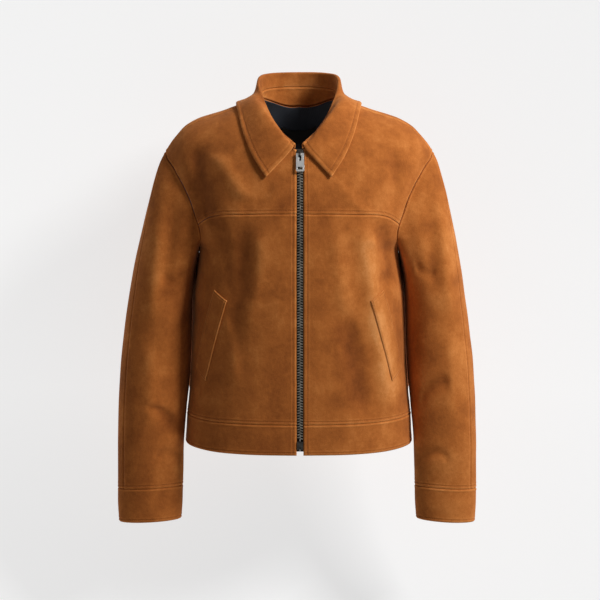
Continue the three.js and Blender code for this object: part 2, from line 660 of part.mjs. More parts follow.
// The neck seam by degrees of turn, from the front (0) to the middle of the back (180)
function neckPoint(turn) {
  const isFront = Math.abs(turn) < 90;
  const reach = isFront ? neckMidY - neckFront : neckBack - neckMidY;
  const power = isFront ? 2 / neckFrontPower : 1;
  const sine = Math.sin(turn * degree);
  const cosine = Math.cos(turn * degree);
  const x = neckHalfWidth * Math.sign(sine) * Math.abs(sine) ** power;
  const y = neckMidY - reach * Math.sign(cosine) * Math.abs(cosine) ** power;
  const isBack = y > 0;
  let low = 10;
  let high = 90;
  for (let i = 0; i < 40; i += 1) {
    const middle = (low + high) / 2;
    const point = bodyPoint(isBack, turnTo(isBack, x, middle), middle);
    if (Math.abs(point.y) > Math.abs(y)) low = middle;
    else high = middle;
  }
  const point = bodyPoint(isBack, turnTo(isBack, x, low), low);
  return { point, normal: bodyNormal(isBack, turnTo(isBack, x, low), low) };
}

// One cross-section of the collar at a station: the stand's foot, its seam, the fold and the edge
function collarSection(place) {
  const side = place < 0 ? -1 : 1;
  const at = Math.abs(place);
  const flat = collarRows.map((row, i) => ({
    i,
    turn: row.turn,
    over: row.over,
    rollX: row.roll[0],
    rollY: row.roll[1],
    rollZ: row.roll[2],
    edgeX: row.edge[0],
    edgeY: row.edge[1],
    edgeZ: row.edge[2],
  }));
  const read = (column, where = at) => along(flat, 'i', column, where);
  const roll = vector(read('rollX') * side, read('rollY'), read('rollZ'));
  const edge = vector(read('edgeX') * side, read('edgeY'), read('edgeZ'));
  const ahead = Math.min(at + 0.2, collarRows.length - 1);
  const tangent = at > collarRows.length - 1.2
    ? vector(-side, 0, 0)
    : vector(read('rollX', ahead) * side, read('rollY', ahead), read('rollZ', ahead)).sub(roll).normalize();
  const neck = neckPoint(read('turn') * side);
  const foot = neck.point.clone().addScaledVector(neck.normal, footClearance);
  const up = roll.clone().sub(foot).normalize().add(roll.clone().sub(edge).normalize());
  up.addScaledVector(tangent, -up.dot(tangent)).normalize();
  const outward = tangent.clone().cross(up).normalize();
  if (outward.dot(neck.normal) < 0) outward.negate();
  return { roll, edge, foot, outward, up, over: read('over') };
}

// Lift a point off the body, where it lies outside the neck and closer than the clearance
function clearOfBody(point, clearance) {
  if (insideNeck(point)) return point;
  const isBack = point.y > 0;
  const ridge = along(ridgeRows, 'x', 'z', Math.abs(point.x));
  let level = Math.asin(clamp((point.z - armpitZ) / (ridge - armpitZ), 0, 1)) / degree;
  if (level > 50 || isBack) {
    let low = 20;
    let high = 90;
    for (let i = 0; i < 30; i += 1) {
      level = (low + high) / 2;
      const body = bodyPoint(isBack, turnTo(isBack, point.x, level), level);
      if (Math.abs(body.y) > Math.abs(point.y)) low = level;
      else high = level;
    }
  }
  const turn = turnTo(isBack, point.x, level);
  const normal = bodyNormal(isBack, turn, level);
  const gap = point.clone().sub(bodyPoint(isBack, turn, level)).dot(normal);
  return gap < clearance ? point.addScaledVector(normal, clearance - gap) : point;
}

// Points of a section from the seam inside, over the fold, to the edge
function fallPath({ roll, edge, foot, outward, up, over }) {
  const centre = roll.clone().addScaledVector(up, -rollRadius);
  const inTop = centre.clone().addScaledVector(outward, -rollRadius);
  const outTop = centre.clone().addScaledVector(outward, rollRadius);
  const down = foot.clone().sub(inTop);
  const seamShare = Math.min(1, insideFold / down.length());
  const seam = inTop.clone().addScaledVector(down, seamShare);
  const path = [seam, inTop.clone().addScaledVector(down, seamShare * 0.5)];
  for (const angle of [0, 45, 90, 135]) {
    const point = centre.clone().addScaledVector(outward, -rollRadius * Math.cos(angle * degree));
    path.push(point.addScaledVector(up, rollRadius * Math.sin(angle * degree)));
  }
  const overSeam = foot.clone().addScaledVector(outward, over);
  const fall = new THREE.CatmullRomCurve3([outTop, overSeam, edge], false, 'centripetal');
  for (const at of [0, 0.25, 0.5, 0.66, 0.83, 1]) {
    path.push(clearOfBody(fall.getPoint(at), collarWall + fallClearance));
  }
  return { path, seam, seamShare };
}

// Normals of a grid of points, on the side that shows
function gridNormals(points) {
  return points.map((row, i) => row.map((point, j) => {
    const before = points[Math.max(i - 1, 0)][j];
    const after = points[Math.min(i + 1, points.length - 1)][j];
    const across = row[Math.min(j + 1, row.length - 1)].clone().sub(row[Math.max(j - 1, 0)]);
    return across.cross(after.clone().sub(before)).normalize();
  }));
}

function addCollar() {
  const last = collarRows.length - 1;
  const half = Array.from({ length: last }, (unused, i) => i);
  const places = half.map((i) => -(i || 1e-6)).concat([last], half.slice().reverse());
  const sections = places.map(collarSection);
  const paths = sections.map(fallPath);
  const points = paths[0].path.map((unused, k) => paths.map((path) => path.path[k]));
  const normals = gridNormals(points);
  const fall = points.map((row, i) => row.map((point, j) => walled(point, normals[i][j], collarWall)));
  drawBack(fall, 'first');
  addPiece('collar_fall', wallGeometry(fall), suedeFinish());

  const kept = places.map((unused, j) => j).filter((j) => paths[j].seamShare < 0.75);
  const risen = (j, rise) => sections[j].foot.clone().lerp(paths[j].seam, rise);
  const standPoints = [0, 0.5, 1].map((rise) => kept.map((j) => risen(j, rise)));
  const stand = standPoints.map((row, i) => row.map((point, k) => (
    walled(point, normals[0][kept[k]], collarWall))));
  drawBack(stand, 'last');
  addPiece('collar_stand', wallGeometry(stand), suedeFinish());
}

// Lining where it shows inside the back of the neck, and a bare label on it, from the back's own points
function addLining() {
  const columns = backGridColumns().filter(({ share, top }) => top < 180 - shoulderSeamLift || share === 0);
  const fullTop = 180 - shoulderSeamLift;
  const cell = (wall, lift) => (level, { side, share, top }) => {
    const at = (level / fullTop) * top;
    return bodyCell(true, side * share * edgeTurn(true, at), at, wall, lift);
  };
  const levels = backLifts.filter((level) => level > 20);
  const lining = gridOf(levels, columns, cell(liningWall, -suede - seamGap));
  addPiece('lining_back', wallGeometry(lining), liningFinish());
  const middle = (columns.length - 1) / 2;
  const near = columns.slice(middle - 2, middle + 3);
  const label = gridOf(labelLifts, near, cell(labelWall, -suede - 2 * seamGap - liningWall));
  addPiece('neck_label', wallGeometry(label), liningFinish());
}

// A slanted welt lying on each front
function addWelt({ name, side }) {
  const down = Array.from({ length: weltSteps + 1 }, (unused, i) => i / weltSteps);
  const over = [0, 0.33, 0.67, 1];
  const welt = gridOf(down, over, (fall, across) => {
    const turnTop = lerp(weltTop.inner, weltTop.outer, across);
    const turnFoot = lerp(weltFoot.inner, weltFoot.outer, across);
    const levelTop = lerp(weltTop.innerLevel, weltTop.outerLevel, across);
    const levelFoot = lerp(weltFoot.innerLevel, weltFoot.outerLevel, across);
    const turn = side * lerp(turnTop, turnFoot, fall);
    return bodyCell(false, turn, lerp(levelTop, levelFoot, fall), weltWall, weltWall + weltGap);
  });
  addPiece(`welt_${name}`, wallGeometry(welt), suedeFinish());
}

// The front's outer face at a distance from the middle, by height
function frontFaceY(z, x = zipX) {
  if (z <= armpitZ) return bodyPoint(false, turnTo(false, x, z - armpitZ), z - armpitZ).y;
  const level = Math.asin((z - armpitZ) / (along(ridgeRows, 'x', 'z', Math.abs(x)) - armpitZ)) / degree;
  return bodyPoint(false, turnTo(false, x, level), level).y;
}

const zipLean = Math.atan2(frontFaceY(slider.topZ) - frontFaceY(slider.topZ - pullReach), pullReach);
const pullAxisOff = slider.off + slider.wall + loop.clear;

// A strip that follows the front's face between two distances from the middle, near and far behind it
function stripGeometry(fromX, toX, near, far, topZ, footZ, steps) {
  const rows = Array.from({ length: steps + 1 }, (unused, i) => lerp(topZ, footZ, i / steps));
  return wallGeometry(gridOf(rows, [fromX, toX], (z, x) => ({
    outer: vector(x, frontFaceY(z, x) + near(z), z),
    inner: vector(x, frontFaceY(z, x) + far(z), z),
  })));
}

// The tapes pass behind the fronts and, thicker, behind the waistband
function tapeDepth(z) {
  const seamZ = armpitZ + waistSeam;
  const behindBand = THREE.MathUtils.smoothstep(seamZ + 14 - z, 0, 10);
  return lerp(suede, doubled, behindBand) + seamGap + tapeGap;
}

function addZip() {
  const tapeTop = zipTopZ + tapeSpare;
  const tapeFoot = zipFootZ - tapeSpare;
  for (const { name, side } of sides) {
    const near = zipX + side * seamGap;
    const far = zipX + side * tapeWidth;
    const behind = (z) => tapeDepth(z) + tapeWall;
    const tape = stripGeometry(near, far, tapeDepth, behind, tapeTop, tapeFoot, zipSteps);
    addPiece(`zip_tape_${name}`, tape, liningFinish());
  }
  const chainHalf = chainWidth / 2;
  const chainTop = slider.topZ - slider.height - seamGap;
  const chainFoot = zipFootZ + stopBox.height + seamGap;
  const front = () => -chainProud;
  const rear = (z) => tapeDepth(z) - seamGap;
  const chain = stripGeometry(zipX - chainHalf, zipX + chainHalf, front, rear, chainTop, chainFoot, zipSteps);
  addPiece('zip_chain', chain, metalFinish(0x55504a));
  const boxTop = zipFootZ + stopBox.height;
  const half = stopBox.width / 2;
  const face = () => -stopBox.proud;
  const box = stripGeometry(zipX - half, zipX + half, face, rear, boxTop, zipFootZ, 2);
  addPiece('zip_stop', box, metalFinish(0x55504a));
}

// Place a geometry on the zip: its own up runs up the front from the slider's top, its depth stands off
function ontoZip(geometry) {
  geometry.rotateX(Math.PI / 2 - zipLean);
  return geometry.translate(zipX, frontFaceY(slider.topZ), slider.topZ);
}

function roundedOutline(path, halfWidth, top, foot, corner) {
  path.moveTo(-halfWidth + corner, foot);
  path.lineTo(halfWidth - corner, foot);
  path.quadraticCurveTo(halfWidth, foot, halfWidth, foot + corner);
  path.lineTo(halfWidth, top - corner);
  path.quadraticCurveTo(halfWidth, top, halfWidth - corner, top);
  path.lineTo(-halfWidth + corner, top);
  path.quadraticCurveTo(-halfWidth, top, -halfWidth, top - corner);
  path.lineTo(-halfWidth, foot + corner);
  path.quadraticCurveTo(-halfWidth, foot, -halfWidth + corner, foot);
  return path;
}

// Closed meshes joined into one
function joined(geometries) {
  const solids = geometries.map((geometry) => {
    const plain = geometry.clone();
    plain.deleteAttribute('normal');
    plain.deleteAttribute('uv');
    const merged = mergeVertices(plain, 1e-4);
    return new wasm.Manifold(new wasm.Mesh({
      numProp: 3,
      vertProperties: new Float32Array(merged.attributes.position.array),
      triVerts: new Uint32Array(merged.index.array),
    }));
  });
  const mesh = solids.reduce((sum, solid) => sum.add(solid)).getMesh();
  const geometry = new THREE.BufferGeometry();
  geometry.setAttribute('position', new THREE.Float32BufferAttribute(mesh.vertProperties, 3));
  geometry.setIndex(Array.from(mesh.triVerts));
  geometry.computeVertexNormals();
  return geometry;
}

// The slider's shield-shaped plate, and the loop on it that carries the pull
function addSlider() {
  const { width, height, wall, off, topZ } = slider;
  const outline = new THREE.Shape();
  outline.moveTo(-width * 0.32, -height);
  outline.lineTo(width * 0.32, -height);
  outline.lineTo(width * 0.5, -height * 0.4);
  outline.quadraticCurveTo(width * 0.5, 0, width * 0.2, 0);
  outline.lineTo(-width * 0.2, 0);
  outline.quadraticCurveTo(-width * 0.5, 0, -width * 0.5, -height * 0.4);
  outline.closePath();
  const body = new THREE.ExtrudeGeometry(outline, { depth: wall, bevelEnabled: false, curveSegments: 6 });
  body.translate(0, 0, off);

  const outer = loop.clear + loop.bar;
  const arch = new THREE.Shape();
  arch.moveTo(-outer, outer);
  arch.lineTo(outer, outer);
  arch.lineTo(outer, -outer);
  arch.lineTo(-outer, -outer);
  arch.closePath();
  const eye = new THREE.Path();
  eye.moveTo(-loop.clear, -loop.clear);
  eye.lineTo(loop.clear, -loop.clear);
  eye.lineTo(loop.clear, loop.clear);
  eye.lineTo(-loop.clear, loop.clear);
  eye.closePath();
  arch.holes.push(eye);
  const bridge = new THREE.ExtrudeGeometry(arch, { depth: loop.width, bevelEnabled: false });
  bridge.rotateY(-Math.PI / 2);
  bridge.translate(loop.width / 2, -pull.axisDown, pullAxisOff);
  addPiece('zip_slider', ontoZip(joined([body, bridge])), metalFinish(0x4a4744));
}

// The pull: a plate with a keyhole round the slider's loop and a small window near its foot
function addPull() {
  const { width, height, wall, bar, slotWidth, slotHeight, corner } = pull;
  const plate = roundedOutline(new THREE.Shape(), width / 2, bar / 2, bar / 2 - height, corner);
  const slotFoot = -bar / 2 - slotHeight;
  plate.holes.push(roundedOutline(new THREE.Path(), slotWidth / 2, -bar / 2, slotFoot, slotWidth / 3));
  const windowFoot = bar / 2 - height + pull.windowUp;
  const windowTop = windowFoot + pull.windowHeight;
  plate.holes.push(roundedOutline(new THREE.Path(), pull.windowWidth / 2, windowTop, windowFoot, 0.5));
  const geometry = new THREE.ExtrudeGeometry(plate, { depth: wall, bevelEnabled: false, curveSegments: 3 });
  geometry.translate(0, -pull.axisDown, pullAxisOff - wall / 2);
  addPiece('zip_pull', ontoZip(geometry), metalFinish(0xc9c9c6));
}

sides.forEach(addFront);
addBack();
sides.forEach(addSleeve);
addCollar();
addLining();
sides.forEach(addWelt);
addZip();
addSlider();
addPull();

export default jacket;
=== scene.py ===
import math

import bmesh
import bpy
import numpy as np
from mathutils import Matrix, Vector


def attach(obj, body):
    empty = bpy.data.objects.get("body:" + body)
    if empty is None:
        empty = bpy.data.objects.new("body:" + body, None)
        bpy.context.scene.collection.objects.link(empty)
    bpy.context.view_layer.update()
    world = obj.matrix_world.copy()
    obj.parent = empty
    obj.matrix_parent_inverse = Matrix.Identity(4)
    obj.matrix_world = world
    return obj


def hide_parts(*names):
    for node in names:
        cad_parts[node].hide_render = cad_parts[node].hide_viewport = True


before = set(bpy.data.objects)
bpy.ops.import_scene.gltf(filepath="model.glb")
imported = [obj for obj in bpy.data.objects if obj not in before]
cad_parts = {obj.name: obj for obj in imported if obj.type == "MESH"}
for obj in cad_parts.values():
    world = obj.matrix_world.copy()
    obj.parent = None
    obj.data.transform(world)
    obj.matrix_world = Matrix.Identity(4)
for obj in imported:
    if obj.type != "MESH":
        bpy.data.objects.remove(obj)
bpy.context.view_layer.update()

scene = bpy.context.scene
mm = 0.001

# Shape of the jacket, in millimetres, as in the part's own source
body = {
    "armpitZ": -228, "waistSeam": -265, "hem": -313, "sideRise": 6,
    "ringPower": 2.4, "frontPower": 2.0, "backPower": 2.6, "shoulderSeam": 78.5,
    "swell": {"out": 13, "from": 58, "top": 0, "full": 14, "ebb": 200, "foot": 262},
    "zipX": 2, "zipHalfGap": 5.2, "neckHalfWidth": 70, "neckFront": -97, "neckBack": 68,
    "neckFrontPower": 1.6, "seamGap": 0.3,
}
frontRows = {
    "level": [-313, -265, -212, -152, -72, 0, 5, 10, 15, 22, 30, 42, 62, 90],
    "wide": [182, 178.6, 173.5, 170.2, 166, 158, 166, 172, 178, 185, 192, 202, 214, 221],
    "deep": [117, 118, 119, 120, 122, 122, 122, 122, 122, 122, 122, 122, 122, 122],
    "edge": [182, 178.6, 173.5, 170.2, 166, 158, 153.5, 155, 161, 168.5, 179, 192.5, 207.5, 212],
}
backRows = {
    "level": [-313, -265, -212, -152, -72, 0, 5, 12, 22, 32, 45, 65, 90],
    "wide": [182, 178.6, 173.5, 170.2, 166, 158, 167, 177, 187, 195, 205, 215, 221],
    "deep": [100, 97, 96, 99, 106, 112, 112, 112, 112, 112, 112, 112, 112],
    "edge": [182, 178.6, 173.5, 170.2, 166, 158, 156.5, 160, 168.5, 178, 191.5, 207, 212],
}
ridgeRows = {
    "x": [0, 40, 77, 105, 120, 140, 160, 180, 192, 203, 212, 221],
    "z": [30, 19.5, 6.5, -2.8, -8.2, -14.5, -21.5, -33, -45.5, -59, -74, -95],
}
yokeSeamRows = {"share": [0, 0.4, 0.7, 1], "lift": [13.4, 14.6, 14.9, 11.6]}
sleeveRows = {
    "outX": [212, 221, 231.5, 240.5, 248.5, 257, 264, 270, 275.5, 280, 282.5, 284, 285, 285.5, 285.5, 285.5, 283.5],
    "outZ": [-74, -92, -126, -162, -200, -240, -280, -320, -361, -402, -442, -482, -524, -566, -606, -633, -660],
    "inX": [158, 161, 164.5, 167.5, 169.5, 170.5, 171, 171.5, 173, 175, 178, 181, 183, 184, 184.5, 185.5, 187.5],
    "inZ": [-228, -240, -256, -275, -298, -324, -352, -381, -411, -441, -472, -504, -537, -570, -601, -628, -655],
    "midY": [0, -1, -3, -5, -7, -9, -11, -13, -15, -18, -21, -25, -29, -32, -34, -35, -36],
    "fore": [62, 63, 63, 61, 58, 55, 52, 49, 47, 45, 43, 40, 36, 32, 29, 29, 28],
    "aft": [56, 58, 60, 60, 58, 55, 52, 49, 46, 43, 40, 37, 34, 31, 29, 29, 28],
    "blend": [1, 0.78, 0.52, 0.3, 0.14, 0.04, 0, 0, 0, 0, 0, 0, 0, 0, 0, 0, 0],
    "seam": [166, 160, 154, 149, 145, 142, 140, 139, 138, 138, 138, 138, 138, 138, 138, 138, 138],
}
sleeve = {"tipEase": 0.3, "cuffRing": 14, "lastRing": 16, "sway": -3}
collarRows = {
    "turn": [7, 14, 21, 31, 53, 80, 106, 119, 129, 142, 160, 180],
    "rollX": [5, 10, 17, 26, 41.5, 53, 60.5, 62.5, 58.5, 46, 26, 0],
    "rollY": [-99, -92.5, -85.5, -75, -55, -30, -10, 8, 26, 45, 58.5, 63],
    "rollZ": [-62.5, -57.5, -51.5, -43, -21.5, 4, 27, 40.5, 48.5, 52.5, 54.5, 55],
    "edgeX": [50, 60, 69, 78, 87, 95, 99, 98, 90.5, 73, 39, 0],
    "edgeY": [-111.5, -106.5, -99.5, -89, -71.5, -45, -19, 9, 34, 58, 79, 86],
    "edgeZ": [-113, -98, -84, -66, -42, -13, 2, 5, 3, -4, -13, -16],
    "over": [6, 6.5, 7, 7.5, 8, 9, 10, 12, 13, 13, 13, 13],
}
collar = {"rollRadius": 3, "clearance": 3.4, "insideFold": 20, "footClearance": 1.2, "wall": 2.0}

# Each crease: face, three points seen from the front or back, depth and width. The largest are the solids' own.
mainFolds = [
    (-1, -157, -66, -152, -120, -142, -176, -5, 15),
    (-1, -126, -78, -106, -110, -84, -146, 4, 16),
    (-1, -84, -190, -83, -245, -112, -392, -5, 17),
    (-1, -64, -200, -66, -270, -92, -350, 3.5, 16),
    (-1, 100, -190, 118, -300, 146, -480, 7, 15),
    (-1, 74, -330, 88, -390, 102, -480, -5, 17),
    (-1, 128, -184, 136, -235, 139, -280, -5, 13),
    (-1, -196, -520, -206, -490, -232, -470, -4, 13),
    (-1, 190, -468, 206, -446, 236, -436, -4, 13),
    (1, -120, -190, -112, -290, -126, -430, -6, 18),
    (1, 122, -200, 110, -300, 130, -440, -6, 18),
    (1, -40, -330, -48, -400, -60, -480, 5, 18),
    (1, 52, -300, 60, -380, 74, -480, 5, 18),
    (1, -190, -410, -220, -392, -252, -396, -5, 14),
    (1, 190, -400, 222, -388, 250, -396, -5, 14),
]
softFolds = [
    (-1, -146, -168, -128, -184, -108, -196, -1.6, 9),
    (-1, -120, -200, -112, -240, -108, -300, -1.6, 12),
    (-1, -112, -330, -104, -370, -100, -430, 1.6, 11),
    (-1, 58, -200, 62, -250, 72, -320, 1.8, 13),
    (-1, 112, -205, 124, -235, 130, -262, 2.0, 8),
    (-1, 150, -300, 158, -360, 166, -430, -1.8, 9),
    (-1, 146, -70, 150, -105, 146, -160, -1.8, 10),
    (-1, 60, -120, 84, -150, 110, -172, 1.2, 12),
    (-1, -40, -130, -62, -150, -88, -166, -1.2, 12),
    (-1, -196, -150, -200, -220, -210, -300, -2.0, 12),
    (-1, -222, -180, -226, -260, -232, -340, 1.8, 13),
    (-1, 204, -150, 208, -220, 214, -290, -2.2, 12),
    (-1, 228, -170, 232, -250, 238, -330, 2.0, 12),
    (-1, 182, -250, 196, -262, 214, -262, -2.0, 9),
    (-1, -180, -262, -194, -272, -214, -270, -2.0, 9),
    (-1, -236, -380, -232, -440, -236, -500, 1.6, 13),
    (-1, 236, -360, 240, -420, 236, -490, 1.6, 13),
    (-1, -188, -560, -204, -548, -226, -552, -1.6, 8),
    (-1, 192, -560, 210, -548, 236, -554, -1.6, 8),
    (1, -150, -120, -120, -160, -90, -176, -2.0, 13),
    (1, 150, -124, 118, -158, 92, -180, -2.0, 13),
    (1, 0, -60, 2, -140, -4, -220, 1.6, 20),
    (1, -90, -260, -84, -330, -92, -420, 1.8, 12),
    (1, 94, -240, 88, -320, 96, -400, 1.8, 12),
    (1, -200, -240, -216, -262, -240, -270, -2.0, 10),
    (1, 200, -246, 214, -262, 238, -268, -2.0, 10),
    (1, -214, -480, -232, -470, -256, -474, -2.0, 10),
    (1, 214, -476, 230, -468, 254, -472, -2.0, 10),
]
foldFadeY = 34
softFoldGain = 1.5  # how much deeper the finer folds are pressed than listed


def readTable(rows, key, column, at):
    keys = np.array(rows[key], float)
    values = np.array(rows[column], float)
    slope = np.empty_like(values)
    slope[1:-1] = (values[2:] - values[:-2]) / (keys[2:] - keys[:-2])
    slope[0] = (values[1] - values[0]) / (keys[1] - keys[0])
    slope[-1] = (values[-1] - values[-2]) / (keys[-1] - keys[-2])
    at = np.asarray(at, float)
    i = np.clip(np.searchsorted(keys, at) - 1, 0, len(keys) - 2)
    span = keys[i + 1] - keys[i]
    t = np.clip((at - keys[i]) / span, 0, 1)
    rise = values[i + 1] - values[i]
    bend = (slope[i] * span - rise) * (1 - t) + (rise - slope[i + 1] * span) * t
    return values[i] + rise * t + bend * t * (1 - t)


def foldDepth(folds, x, y, z):
    depth = np.zeros_like(x)
    for face, ax, az, bx, bz, cx, cz, height, width in folds:
        side = np.clip(y * face / foldFadeY, 0, 1)
        across = abs(cx - ax) > abs(cz - az)
        (a, b, c), (p, q, r) = ((ax, bx, cx), (az, bz, cz)) if across else ((az, bz, cz), (ax, bx, cx))
        middle = (b - a) / (c - a)
        t = np.clip(((x if across else z) - a) / (c - a), -0.5, 1.5)
        near = (t - middle) * (t - 1) / middle
        centre = t * (t - 1) / (middle * (middle - 1))
        far = t * (t - middle) / (1 - middle)
        miss = (z if across else x) - (p * near + q * centre + r * far)
        ends = np.clip(t * 3.5 + 0.35, 0, 1) * np.clip((1 - t) * 3.5 + 0.35, 0, 1)
        fade = ends * ends * (3 - 2 * ends)
        depth += height * face * side * fade * np.exp(-((miss / width) ** 2))
    return depth


# Slow unevenness of worn suede: a few long waves in fixed directions, each use with its strength and pitch. The same
# table also sets painted shade: lighter towards the key light at +x and darker towards -x, and lighter fold ridges and
# darker fold troughs
wander = {"waves": 9, "seed": 4, "pucker": (0.35, 17), "height": (0.28, 62), "tone": (0.12, 48),
          "sideShade": 0.15, "sideShadeSpan": 260, "foldShadeDepth": 6, "foldShadeLimit": 0.9}
waveDirections = np.random.default_rng(wander["seed"]).normal(size=(wander["waves"], 4))


def unevenness(points, pitch):
    total = np.zeros(points.shape[:-1])
    for x, y, z, phase in waveDirections:
        size = math.sqrt(x * x + y * y + z * z)
        turned = (points[..., 0] * x + points[..., 1] * y + points[..., 2] * z) / size
        total += np.sin(turned * 2 * math.pi / pitch + phase * 7)
    return total / math.sqrt(wander["waves"])


def folded(points):
    x, y, z = points[..., 0], points[..., 1], points[..., 2]
    depth = foldDepth(mainFolds, x, y, z) + softFoldGain * foldDepth(softFolds, x, y, z)
    moved = points.copy()
    moved[..., 1] = y + depth
    return moved


def smoothStep(x, low, high):
    t = np.clip((x - low) / (high - low), 0, 1)
    return t * t * (3 - 2 * t)


def sideSwell(turn, drop):
    swell = body["swell"]
    across = np.sin(math.pi * np.clip((turn - swell["from"]) / (90 - swell["from"]), 0, 1)) ** 2
    rise = smoothStep(drop, swell["top"], swell["full"])
    return swell["out"] * across * rise * (1 - smoothStep(drop, swell["ebb"], swell["foot"]))


def plainPoint(isBack, turn, level):
    isBack, turn, level = np.broadcast_arrays(isBack, np.asarray(turn, float), np.asarray(level, float))
    onFront = ~isBack | (level > 90)
    lift = np.where(isBack & (level > 90), 180 - level, level)
    wide = np.where(onFront, readTable(frontRows, "level", "wide", lift), readTable(backRows, "level", "wide", lift))
    deep = np.where(onFront, readTable(frontRows, "level", "deep", lift), readTable(backRows, "level", "deep", lift))
    face = np.where(onFront, -1.0, 1.0)
    power = np.where(onFront, body["frontPower"], body["backPower"])
    sine = np.abs(np.sin(np.radians(turn)))
    x = np.sign(turn) * wide * sine ** (2 / body["ringPower"])
    x = x + np.where((face > 0) & (lift <= 0), sideSwell(np.abs(turn), -lift) * np.sign(turn), 0)
    around = np.maximum(np.cos(np.radians(turn)), 0) ** (2 / body["ringPower"])
    rise = np.sin(np.radians(np.maximum(lift, 0)))
    ridge = readTable(ridgeRows, "x", "z", np.abs(x))
    drawnIn = np.maximum(1 - rise ** power, 0) ** (1 / power)
    y = face * deep * around * drawnIn
    below = body["armpitZ"] + lift + body["sideRise"] * (lift / body["hem"]) * sine ** 4
    above = body["armpitZ"] + (ridge - body["armpitZ"]) * rise
    return np.stack([x, y, np.where(lift <= 0, below, above)], axis=-1)


def bodyPoint(isBack, turn, level):
    return folded(plainPoint(isBack, turn, level))


def turnTo(isBack, x, level):
    isBack, x, level = np.broadcast_arrays(isBack, np.asarray(x, float), np.asarray(level, float))
    onFront = ~isBack | (level > 90)
    lift = np.where(isBack & (level > 90), 180 - level, level)
    wide = np.where(onFront, readTable(frontRows, "level", "wide", lift), readTable(backRows, "level", "wide", lift))
    share = np.minimum(np.abs(x) / wide, 1) ** (body["ringPower"] / 2)
    return np.degrees(np.arcsin(share)) * np.sign(x)


def edgeTurn(isBack, level):
    level = np.asarray(level, float)
    onFront = np.logical_not(isBack) | (level > 90)
    lift = np.where(isBack & (level > 90), 180 - level, level)
    edge = np.where(onFront, readTable(frontRows, "level", "edge", lift), readTable(backRows, "level", "edge", lift))
    return np.where(level <= 0, 90, turnTo(isBack, edge, level))


def unit(vectors):
    return vectors / np.maximum(np.linalg.norm(vectors, axis=-1, keepdims=True), 1e-9)


def bodyNormal(isBack, turn, level):
    step = 0.3
    across = bodyPoint(isBack, turn + step, level) - bodyPoint(isBack, turn - step, level)
    up = bodyPoint(isBack, turn, level + step) - bodyPoint(isBack, turn, level - step)
    normal = unit(np.cross(across, up))
    face = np.where(isBack, 1.0, -1.0)
    hint = np.stack([np.sin(np.radians(turn)), face * np.cos(np.radians(turn)), np.full_like(turn, 0.5)], axis=-1)
    return normal * np.where(np.sum(normal * hint, axis=-1) < 0, -1, 1)[..., None]


shoulderWide = readTable(frontRows, "level", "wide", body["shoulderSeam"])
neckMidY = -frontRows["deep"][-1] * math.cos(math.radians(body["shoulderSeam"])) * (
    1 - (body["neckHalfWidth"] / shoulderWide) ** body["ringPower"]) ** (1 / body["ringPower"])


def insideNeck(points):
    y = points[..., 1]
    isFront = y < neckMidY
    reach = np.where(isFront, neckMidY - body["neckFront"], body["neckBack"] - neckMidY)
    power = np.where(isFront, body["neckFrontPower"], 2.0)
    out = np.abs(points[..., 0] / body["neckHalfWidth"]) ** power + np.abs((y - neckMidY) / reach) ** power
    return out < 1


def topLevel(isBack, turnAt, count):
    last = 180 - body["shoulderSeam"] if isBack else body["shoulderSeam"]
    start, step = 20.0, 0.5
    low = np.full(count, start)
    high = np.full(count, float(last))
    for level in np.arange(start + 1, last, step):
        hit = insideNeck(bodyPoint(isBack, turnAt(np.full(count, level)), np.full(count, level)))
        fresh = hit & (high == last)
        high = np.where(fresh, level, high)
        low = np.where(fresh, level - step, low)
    found = high < last
    for _ in range(24):
        middle = (low + high) / 2
        hit = insideNeck(bodyPoint(isBack, turnAt(middle), middle))
        high = np.where(hit, middle, high)
        low = np.where(hit, low, middle)
    return np.where(found, low, last)


def armholePoint(isBack, level):
    return plainPoint(isBack, edgeTurn(isBack, level), level)


def ringPoint(row, around):
    reach = (1 - np.cos(around)) / 2
    depth = np.where(np.sin(around) > 0, row["fore"], row["aft"])
    x = row["inX"] + (row["outX"] - row["inX"]) * reach
    z = row["inZ"] + (row["outZ"] - row["inZ"]) * reach
    return np.stack([x, row["midY"] - depth * np.sin(around), z], axis=-1)


def sleeveRow(ring):
    last = len(sleeveRows["outX"]) - 1
    i = np.clip(np.floor(ring).astype(int), 0, last - 1)
    t = ring - i
    row = {}
    for column, values in sleeveRows.items():
        values = np.array(values, float)
        a, b, c, d = (values[np.clip(i + k, 0, last)] for k in (-1, 0, 1, 2))
        bend = (3 * b - a - 3 * c + d) * t + (2 * a - 5 * b + 4 * c - d)
        row[column] = b + 0.5 * t * (c - a + t * bend)
    return row


firstRing = {column: float(values[0]) for column, values in sleeveRows.items()}
armholeLow = np.array([firstRing["inX"], firstRing["midY"], firstRing["inZ"]])
armholeReach = np.array([firstRing["outX"], firstRing["midY"], firstRing["outZ"]]) - armholeLow


def armholeTurn(isBack, level):
    share = (armholePoint(isBack, level) - armholeLow) @ armholeReach / (armholeReach @ armholeReach)
    shortOfTip = 1 - sleeve["tipEase"] * (1 - level / 90) ** 2
    return np.arccos(1 - 2 * np.clip(share, 0, shortOfTip))


def sleevePoint(side, isBack, level, ring):
    level, ring = np.broadcast_arrays(np.asarray(level, float), np.asarray(ring, float))
    half = armholeTurn(isBack, level)
    around = np.where(isBack & (level <= 90), 2 * math.pi - half, half)
    own = armholePoint(isBack, level) - ringPoint(firstRing, around)
    row = sleeveRow(ring)
    seamStart = armholeTurn(False, np.array(body["shoulderSeam"]))
    seam = seamStart + np.radians(row["seam"] - firstRing["seam"])
    behind = 2 * math.pi - (2 * math.pi - around) * (2 * math.pi - seam) / (2 * math.pi - seamStart)
    turned = behind if isBack else around * seam / seamStart
    point = ringPoint(row, turned) + own * row["blend"][..., None]
    outer = (1 - np.cos(turned)) / 2
    point[..., 0] = point[..., 0] * side + outer * sleeve["sway"] * smoothStep(ring, 1, 8)
    return folded(point)


